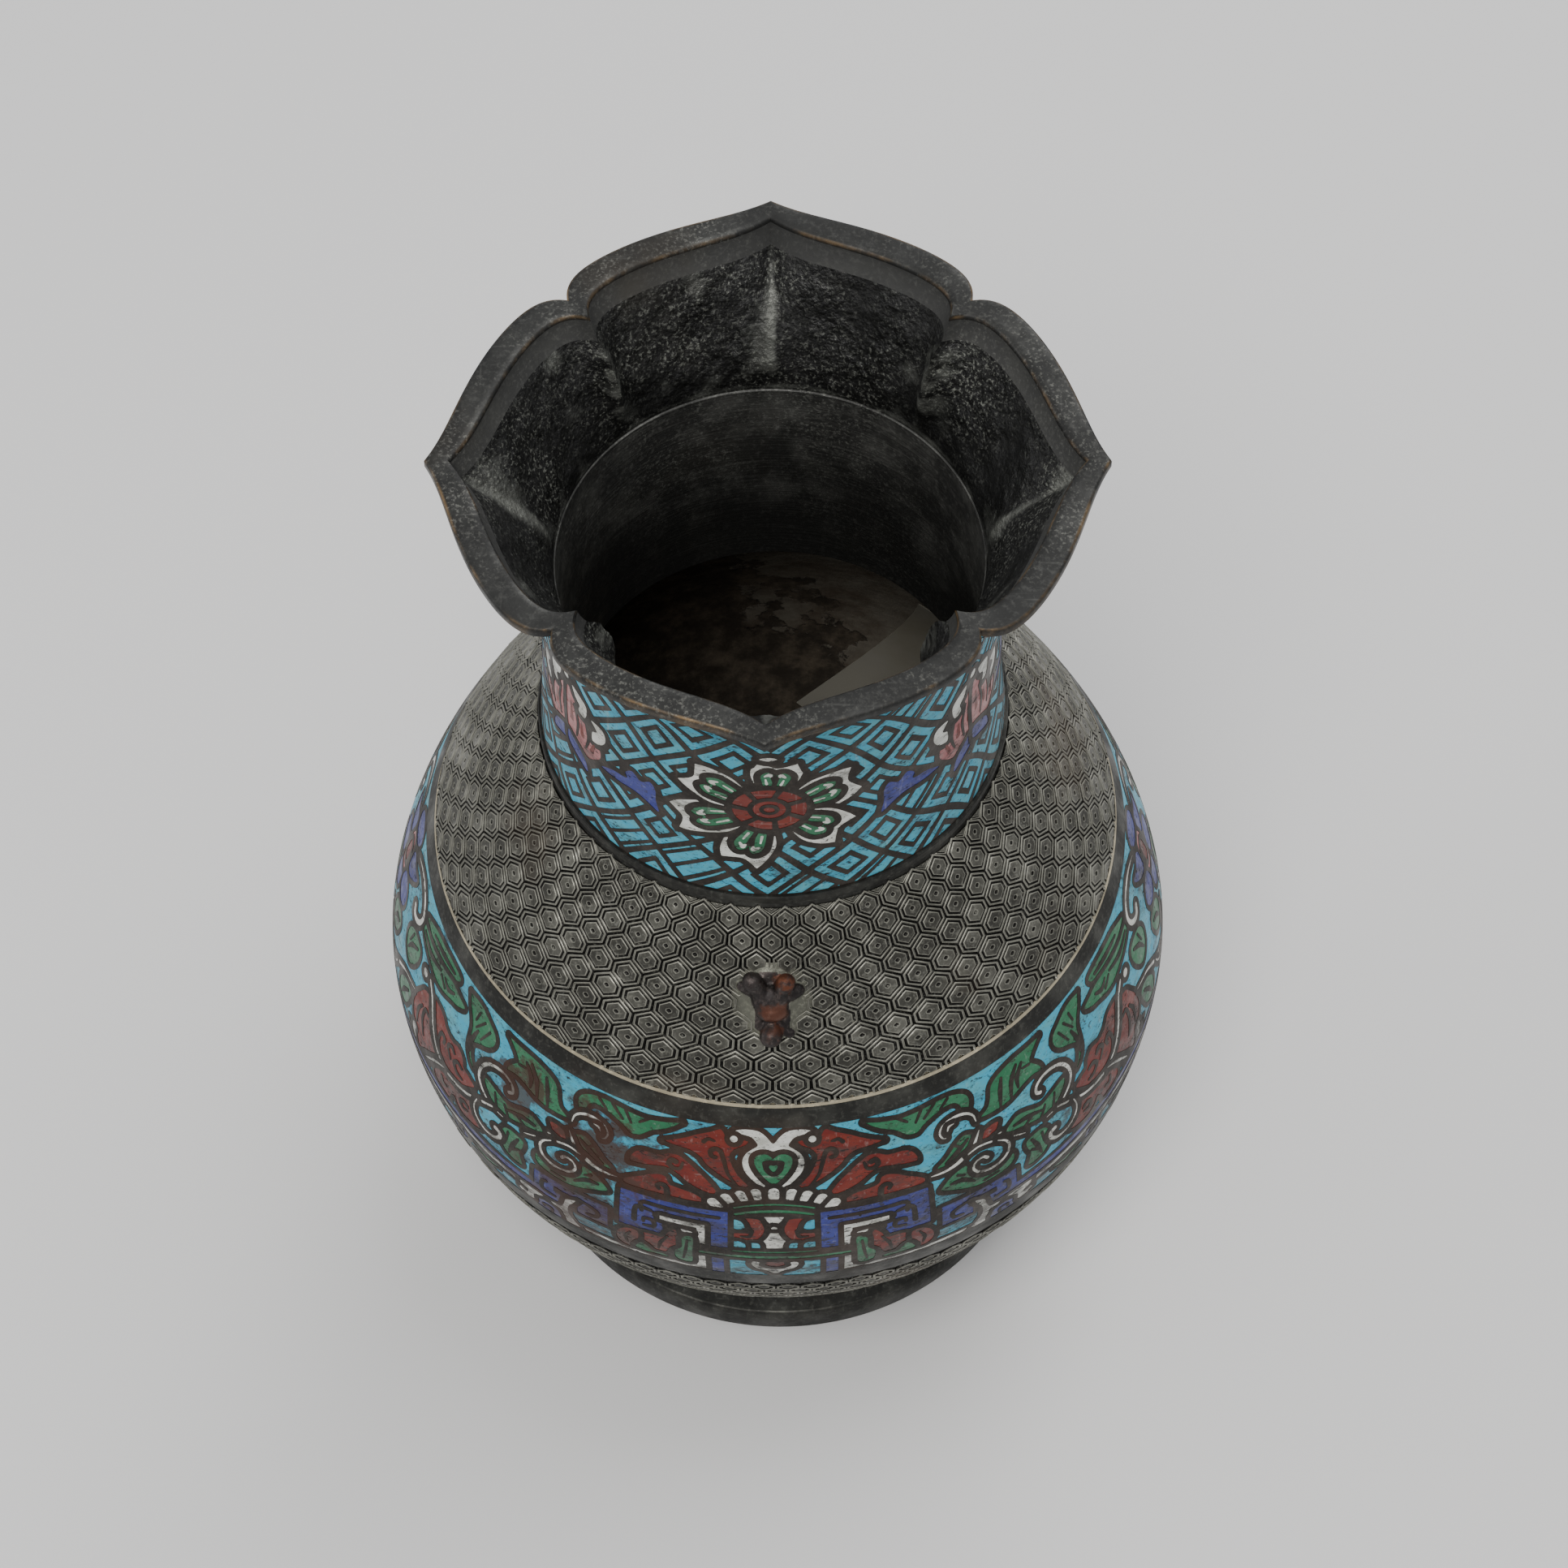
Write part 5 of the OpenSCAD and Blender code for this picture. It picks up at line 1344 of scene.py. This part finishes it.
# rows of points turned about the axis, a tile on each, worn by chance
def diaperTree(material):
    tree = bpy.data.node_groups.new("diaperField", "GeometryNodeTree")
    tree.is_modifier = True
    face = tree.interface
    face.new_socket("Geometry", in_out="INPUT", socket_type="NodeSocketGeometry")
    for label, kind, value in (("Tile", "NodeSocketObject", None), ("Cells around", "NodeSocketInt", 56),
            ("Wear", "NodeSocketFloat", 0.3), ("Seed", "NodeSocketInt", 1), ("Clear centre",
            "NodeSocketVector", (0, 0, 0)), ("Clear radius", "NodeSocketFloat", 0.0)):
        socket = face.new_socket(label, in_out="INPUT", socket_type=kind)
        if value is not None:
            socket.default_value = value
    face.new_socket("Geometry", in_out="OUTPUT", socket_type="NodeSocketGeometry")
    given, out = tree.nodes.new("NodeGroupInput"), tree.nodes.new("NodeGroupOutput")
    attribute = lambda name: node(tree, "GeometryNodeInputNamedAttribute", {"Name": name},
        data_type="FLOAT").outputs["Attribute"]
    copies = node(tree, "GeometryNodeDuplicateElements", {"Geometry": given.outputs["Geometry"],
        "Amount": given.outputs["Cells around"]}, domain="POINT")
    step = math2(tree, "DIVIDE", 2 * math.pi, given.outputs["Cells around"])
    turn = math2(tree, "MULTIPLY", math2(tree, "ADD", copies.outputs["Duplicate Index"],
        attribute("shift")), step)
    place = node(tree, "ShaderNodeVectorRotate", {"Vector": node(tree,
        "GeometryNodeInputPosition").outputs[0], "Angle": turn}, rotation_type="Z_AXIS")
    moved = node(tree, "GeometryNodeSetPosition", {"Geometry": copies.outputs["Geometry"],
        "Position": place.outputs[0]})
    folded = node(tree, "ShaderNodeVectorMath", {0: node(tree, "GeometryNodeInputPosition").outputs[0]},
        operation="ABSOLUTE")
    away = node(tree, "ShaderNodeVectorMath", {0: folded.outputs[0], 1: given.outputs["Clear centre"]},
        operation="DISTANCE")
    near = node(tree, "FunctionNodeCompare", {0: away.outputs["Value"], 1: given.outputs["Clear radius"]},
        operation="LESS_THAN")
    kept = node(tree, "GeometryNodeDeleteGeometry", {"Geometry": moved.outputs[0],
        "Selection": near.outputs[0]}, domain="POINT")
    facing = node(tree, "ShaderNodeCombineXYZ", {"X": attribute("tilt"), "Z": math2(tree, "ADD",
        attribute("turn"), math.pi / 2)})
    stored = node(tree, "GeometryNodeStoreNamedAttribute", {"Geometry": copies.outputs["Geometry"],
        "Name": "turn", "Value": turn}, data_type="FLOAT", domain="POINT")
    tree.links.new(stored.outputs[0], moved.inputs["Geometry"])
    worn = node(tree, "FunctionNodeRandomValue", {"Min": math2(tree, "SUBTRACT", 1.0,
        given.outputs["Wear"]), "Max": 1.1, "Seed": given.outputs["Seed"]}, data_type="FLOAT")
    worn = [s for s in worn.outputs if s.enabled][0]
    scale = node(tree, "ShaderNodeCombineXYZ", {"X": attribute("wide"), "Y": attribute("tall"),
        "Z": worn})
    info = node(tree, "GeometryNodeObjectInfo", {"Object": given.outputs["Tile"]})
    tiles = node(tree, "GeometryNodeInstanceOnPoints", {"Points": kept.outputs[0],
        "Instance": info.outputs["Geometry"], "Rotation": node(tree, "FunctionNodeEulerToRotation",
        {0: facing.outputs[0]}).outputs[0], "Scale": scale.outputs[0]})
    plain = node(tree, "GeometryNodeRealizeInstances", {"Geometry": tiles.outputs[0]})
    finished = node(tree, "GeometryNodeSetMaterial", {"Geometry": plain.outputs[0], "Material": material})
    tree.links.new(finished.outputs[0], out.inputs["Geometry"])
    return tree


def tiledRows(name, rows, tile, cells, wide, tree, clear=None):
    mesh = bpy.data.meshes.new(name + "Rows")
    mesh.from_pydata([((bodyR(z) - 0.5) * mm, 0, z * mm) for z, _, _ in rows], [], [])
    tilts = [math.pi / 2 - math.atan(-(bodyR(z + 0.5) - bodyR(z - 0.5))) for z, _, _ in rows]
    for label, values in (("tilt", tilts), ("shift", [shift for _, shift, _ in rows]), ("tall",
            [flip for _, _, flip in rows]), ("wide", [2 * math.pi * bodyR(z) / cells / wide for z, _,
            _ in rows])):
        mesh.attributes.new(label, "FLOAT", "POINT").data.foreach_set("value", values)
    rowsPiece = bpy.data.objects.new(name + "Rows", mesh)
    bpy.context.scene.collection.objects.link(rowsPiece)
    change = rowsPiece.modifiers.new("diaper", "NODES")
    change.node_group = tree
    sockets = {item.name: item.identifier for item in tree.interface.items_tree
        if item.item_type == "SOCKET" and item.in_out == "INPUT"}
    change[sockets["Tile"]] = tile
    change[sockets["Cells around"]] = cells
    change[sockets["Wear"]] = diaper["wear"]
    change[sockets["Seed"]] = diaper["seed"]
    if clear:
        change[sockets["Clear centre"]] = clear[0]
        change[sockets["Clear radius"]] = clear[1]
    built = bpy.data.meshes.new_from_object(rowsPiece.evaluated_get(bpy.context.evaluated_depsgraph_get()))
    rowsPiece.modifiers.remove(change)
    bpy.data.objects.remove(rowsPiece)
    built.name = name
    piece = bpy.data.objects.new(name, built)
    bpy.context.scene.collection.objects.link(piece)
    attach(piece, "root")
    print(name, len(built.polygons), "faces")
    return piece


# heights that are equal steps apart along the skin
def levelsAlong(low, high, count):
    heights = np.linspace(low, high, 400)
    arc = skinLengths(heights)
    return [float(np.interp(arc[-1] * i / count, arc, heights)) for i in range(count
        + 1)], arc[-1] / count


# a boss is arms, each an end, a root and a thickness, and lumps, each a centre and three half sizes
boss = {"z": 186.0, "clear": 8.0, "arms": [((-4.9, 6.2, 3.3), (-2.6, 2.6, 1.6), 2.5), ((3.5, 6.0, 3.5),
    (2.0, 2.4, 1.6), 2.45), ((-0.3, -9.4, 2.4), (-0.1, -8.2, 1.4), 2.9), ((-7.4, 3.8, 0.5), (-6.0, 2.2,
    0.2), 1.5), ((6.4, 2.8, 0.8), (5.0, 1.4, 0.4), 1.8), ((4.4, -9.2, 0.2), (2.8, -8.0, 0.1), 1.7),
    ((-3.4, -7.4, 0.0), (-3.0, -3.4, 0.4), 1.5), ((3.2, -6.6, 0.0), (3.2, -3.4, 0.4), 1.7)],
    "lumps": [((-0.4, 0.4, 1.4), (4.6, 4.2, 2.7)), ((0.0, -2.6, 1.6), (4.0, 2.9, 2.7)), ((-0.7, 6.4, 0.2),
    (4.4, 2.6, 1.2)), ((0, -0.6, -1.0), (12.5, 13.5, 2.0))], "voxel": 0.0004, "padHeight": 0.7}
bossSpot = (0, (bodyR(boss["z"]) - 0.5) * mm, boss["z"] * mm)
field = diaperTree(bronzeRelief)
bigLevels, rowPitch = levelsAlong(159.8, diaper["firstRow"], diaper["rows"])
bigWide = 2 * math.pi * 90 / diaper["cellsAround"]
sides = rowPitch * 0.26
tile = hexTile("cellTile", bigWide, rowPitch - sides, sides, diaper["rings"])
halfTile = hexTile("halfCellTile", bigWide, rowPitch - sides, sides, diaper["rings"], half=1)
tiledRows("shoulderDiaper", [(z, 0.5 * (i % 2), 1.0) for i, z in enumerate(bigLevels)][1:], tile,
    diaper["cellsAround"], bigWide, field, (bossSpot, boss["clear"] * mm))
tiledRows("shoulderDiaperEdge", [(bigLevels[0], 0.0, 1.0)], halfTile, diaper["cellsAround"], bigWide,
    field)
topTile = hexTile("topCellTile", bigWide * 0.79, 2.1, 0.12, diaper["rings"], half=-1)
tiledRows("shoulderDiaperTop", [(206.1, 0.0, 1.0)], topTile, diaper["cellsAround"], bigWide, field)
smallLevels, smallPitch = levelsAlong(diaperBottom + 0.1, diaperTop - 0.1, diaper["smallRows"])
smallWide = 2 * math.pi * 98 / diaper["smallCells"]
smallTile = hexTile("smallTile", smallWide, smallPitch * 0.72, smallPitch * 0.28, diaper["smallRings"])
tiledRows("lowerDiaper", [(z, 0.5 * (i % 2), 1.0) for i, z in enumerate(smallLevels)][1:-1], smallTile,
    diaper["smallCells"], smallWide, field)


# the cast bosses: lumps run together, on a smooth low pad
def bossPieces():
    lumps = list(boss["lumps"])
    for end, start, size in boss["arms"]:
        for share in (0, 0.33, 0.67, 1):
            lumps.append((tuple(Vector(start).lerp(Vector(end), share)), (size * (0.85 + 0.15 * share),
                ) * 3))
    maker = bpy.data.meshes.new("lumps")
    shape = bmesh.new()
    for (x, y, z), (a, b, c) in lumps:
        made = bmesh.ops.create_icosphere(shape, subdivisions=4, radius=1.0)
        for vert in made["verts"]:
            vert.co = Vector((x + vert.co.x * a, y + vert.co.y * b, z + vert.co.z * c)) * mm
    shape.to_mesh(maker)
    shape.free()
    lump = bpy.data.objects.new("lumps", maker)
    bpy.context.scene.collection.objects.link(lump)
    remesh = lump.modifiers.new("join", "REMESH")
    remesh.mode, remesh.voxel_size = "VOXEL", boss["voxel"]
    soften = lump.modifiers.new("soften", "SMOOTH")
    soften.factor, soften.iterations = 0.6, 5
    cast = bpy.data.meshes.new_from_object(lump.evaluated_get(bpy.context.evaluated_depsgraph_get()))
    bpy.data.objects.remove(lump)
    tilt = math.atan(-(bodyR(boss["z"] + 0.5) - bodyR(boss["z"] - 0.5)))
    points = [(v.co / mm) for v in cast.vertices]
    faces = [tuple(p.vertices) for p in cast.polygons]
    for name, turn, cadNode in (("frontBoss", -90, "front_boss"), ("backBoss", 90, "back_boss")):
        verts = []
        for p in points:
            bend = p.x * p.x / (2 * bodyR(boss["z"])) + p.y * p.y / 320      # follows the skin
            out = p.z - bend
            radius = bodyR(boss["z"]) - 0.5 + out * math.cos(tilt) - p.y * math.sin(tilt)
            height = boss["z"] + out * math.sin(tilt) + p.y * math.cos(tilt)
            way = math.radians(turn)
            side = Vector((-math.sin(way), math.cos(way), 0))
            spot = Vector((radius * math.cos(way), radius * math.sin(way), height)) + side * p.x
            verts.append(spot * mm)
        piece = makePiece(name, verts, faces, bronzeBoss, [cadNode], sharp=80)
        paintWhere(piece, bossPad, lambda r, z, n: r < bodyR(z) + boss["padHeight"])


bossPieces()


paper = {"length": 68, "width": 30, "turn": 33, "degrees": 69.5, "z": 92, "thick": 0.3, "bow": 5.5}


# a blank paper label on the inner wall
def paperLabel():
    size = paper
    across, along = 12, 24
    lean = math.radians(size["turn"])
    verts = []
    for side in (0, 1):
        for i in range(along + 1):
            for j in range(across + 1):
                y = size["length"] * (i / along - 0.5)
                x = size["width"] * (j / across - 0.5) + size["bow"] * (1 - (2 * i / along - 1) ** 2)
                right, up = x * math.cos(lean) + y * math.sin(lean), y * math.cos(lean) - x * math.sin(lean)
                z = size["z"] + up
                radius = bodyR(z) - wall - 0.3 - side * size["thick"]
                verts.append(around(radius, size["degrees"] - math.degrees(right / (bodyR(size["z"])
                    - wall)), z))
    row, sheet = across + 1, (across + 1) * (along + 1)
    faces = []
    for i in range(along):
        for j in range(across):
            a = i * row + j
            faces += [(a, a + row, a + row + 1, a + 1), (sheet + a, sheet + a + 1, sheet + a + row + 1,
                sheet + a + row)]
    rim = [j for j in range(row)] + [i * row + across for i in range(1, along + 1)]
    rim += [along * row + j for j in range(across - 1, -1, -1)] + [i * row for i in range(along - 1, 0,
        -1)]
    faces += [(a, b, sheet + b, sheet + a) for a, b in zip(rim, rim[1:] + rim[:1])]
    return makePiece("paperLabel", verts, faces, agedPaper, ["inner_label"])


paperLabel()
solderOutline = [(64.3, 23.9), (65.0, 23.2), (65.48, 22.9), (65.48, footPlate["low"]), (63.9,
    footPlate["low"])]
turned("solderBead", solderOutline, solderGrey, ["base_solder"], steps=180)
print("small pieces made")

# floor, lights and camera; a light is its place, where it aims, its size, power and colour
studio = {"floorReach": 6, "floorColour": (0.66, 0.655, 0.65, 1), "air": (0.95, 0.97, 1, 1),
    "airStrength": 0.62, "lights": {"keySoft": ((-0.25, -1.0, 1.95), (0, 0, 0.15), 0.9, 30, (1, 0.98,
    0.95)), "topSoft": ((0.6, 0.4, 2.1), (0.1, 0, 0.15), 1.2, 15, (1, 1, 1)), "leftSoft": ((-1.6, 0.2,
    0.9), (0, 0, 0.15), 0.9, 4.5, (1, 1, 1)), "backSoft": ((0.5, 1.5, 1.1), (0, 0, 0.25), 0.8, 8, (1, 1,
    1))}}
view = {"place": (0.01527, -0.57056, 1.0387), "pitch": 56.68, "lens": 91.3, "sensor": 36,
    "shift": -0.0316}
reach = studio["floorReach"]
floorMesh = bpy.data.meshes.new("paleFloor")
floorMesh.from_pydata([(-reach, -reach, 0), (reach, -reach, 0), (reach, reach, 0), (-reach, reach, 0)],
    [], [(0, 1, 2, 3)])
floor = bpy.data.objects.new("paleFloor", floorMesh)
bpy.context.scene.collection.objects.link(floor)
floorPaint, _, floorShader, _ = newMaterial("paleFloorPaint", Roughness=0.85)
floorShader.inputs["Base Color"].default_value = studio["floorColour"]
floorMesh.materials.append(floorPaint)
floor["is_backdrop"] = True

world = bpy.data.worlds.new("studio")
bpy.context.scene.world = world
world.use_nodes = True
background = world.node_tree.nodes["Background"]
background.inputs["Color"].default_value = studio["air"]
background.inputs["Strength"].default_value = studio["airStrength"]


def softLight(name, place, aim, size, power, colour):
    data = bpy.data.lights.new(name, "AREA")
    data.shape = "DISK"
    data.size = size
    data.energy = power
    data.color = colour
    light = bpy.data.objects.new(name, data)
    light.location = place
    light.rotation_euler = (Vector(aim) - Vector(place)).to_track_quat("-Z", "Y").to_euler()
    bpy.context.scene.collection.objects.link(light)


for name, values in studio["lights"].items():
    softLight(name, *values)

cameraData = bpy.data.cameras.new("viewCamera")
cameraData.lens = view["lens"]
cameraData.sensor_width = view["sensor"]
cameraData.shift_x = view["shift"]
camera = bpy.data.objects.new("viewCamera", cameraData)
camera.location = view["place"]
camera.rotation_euler = (math.pi / 2 - math.radians(view["pitch"]), 0, 0)
bpy.context.scene.collection.objects.link(camera)
bpy.context.scene.camera = camera

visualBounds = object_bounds()
asList = lambda box: [[float(x) for x in corner] for corner in box]
{"cad": asList(cadBounds), "visual": asList(visualBounds)}
print("scene finished")
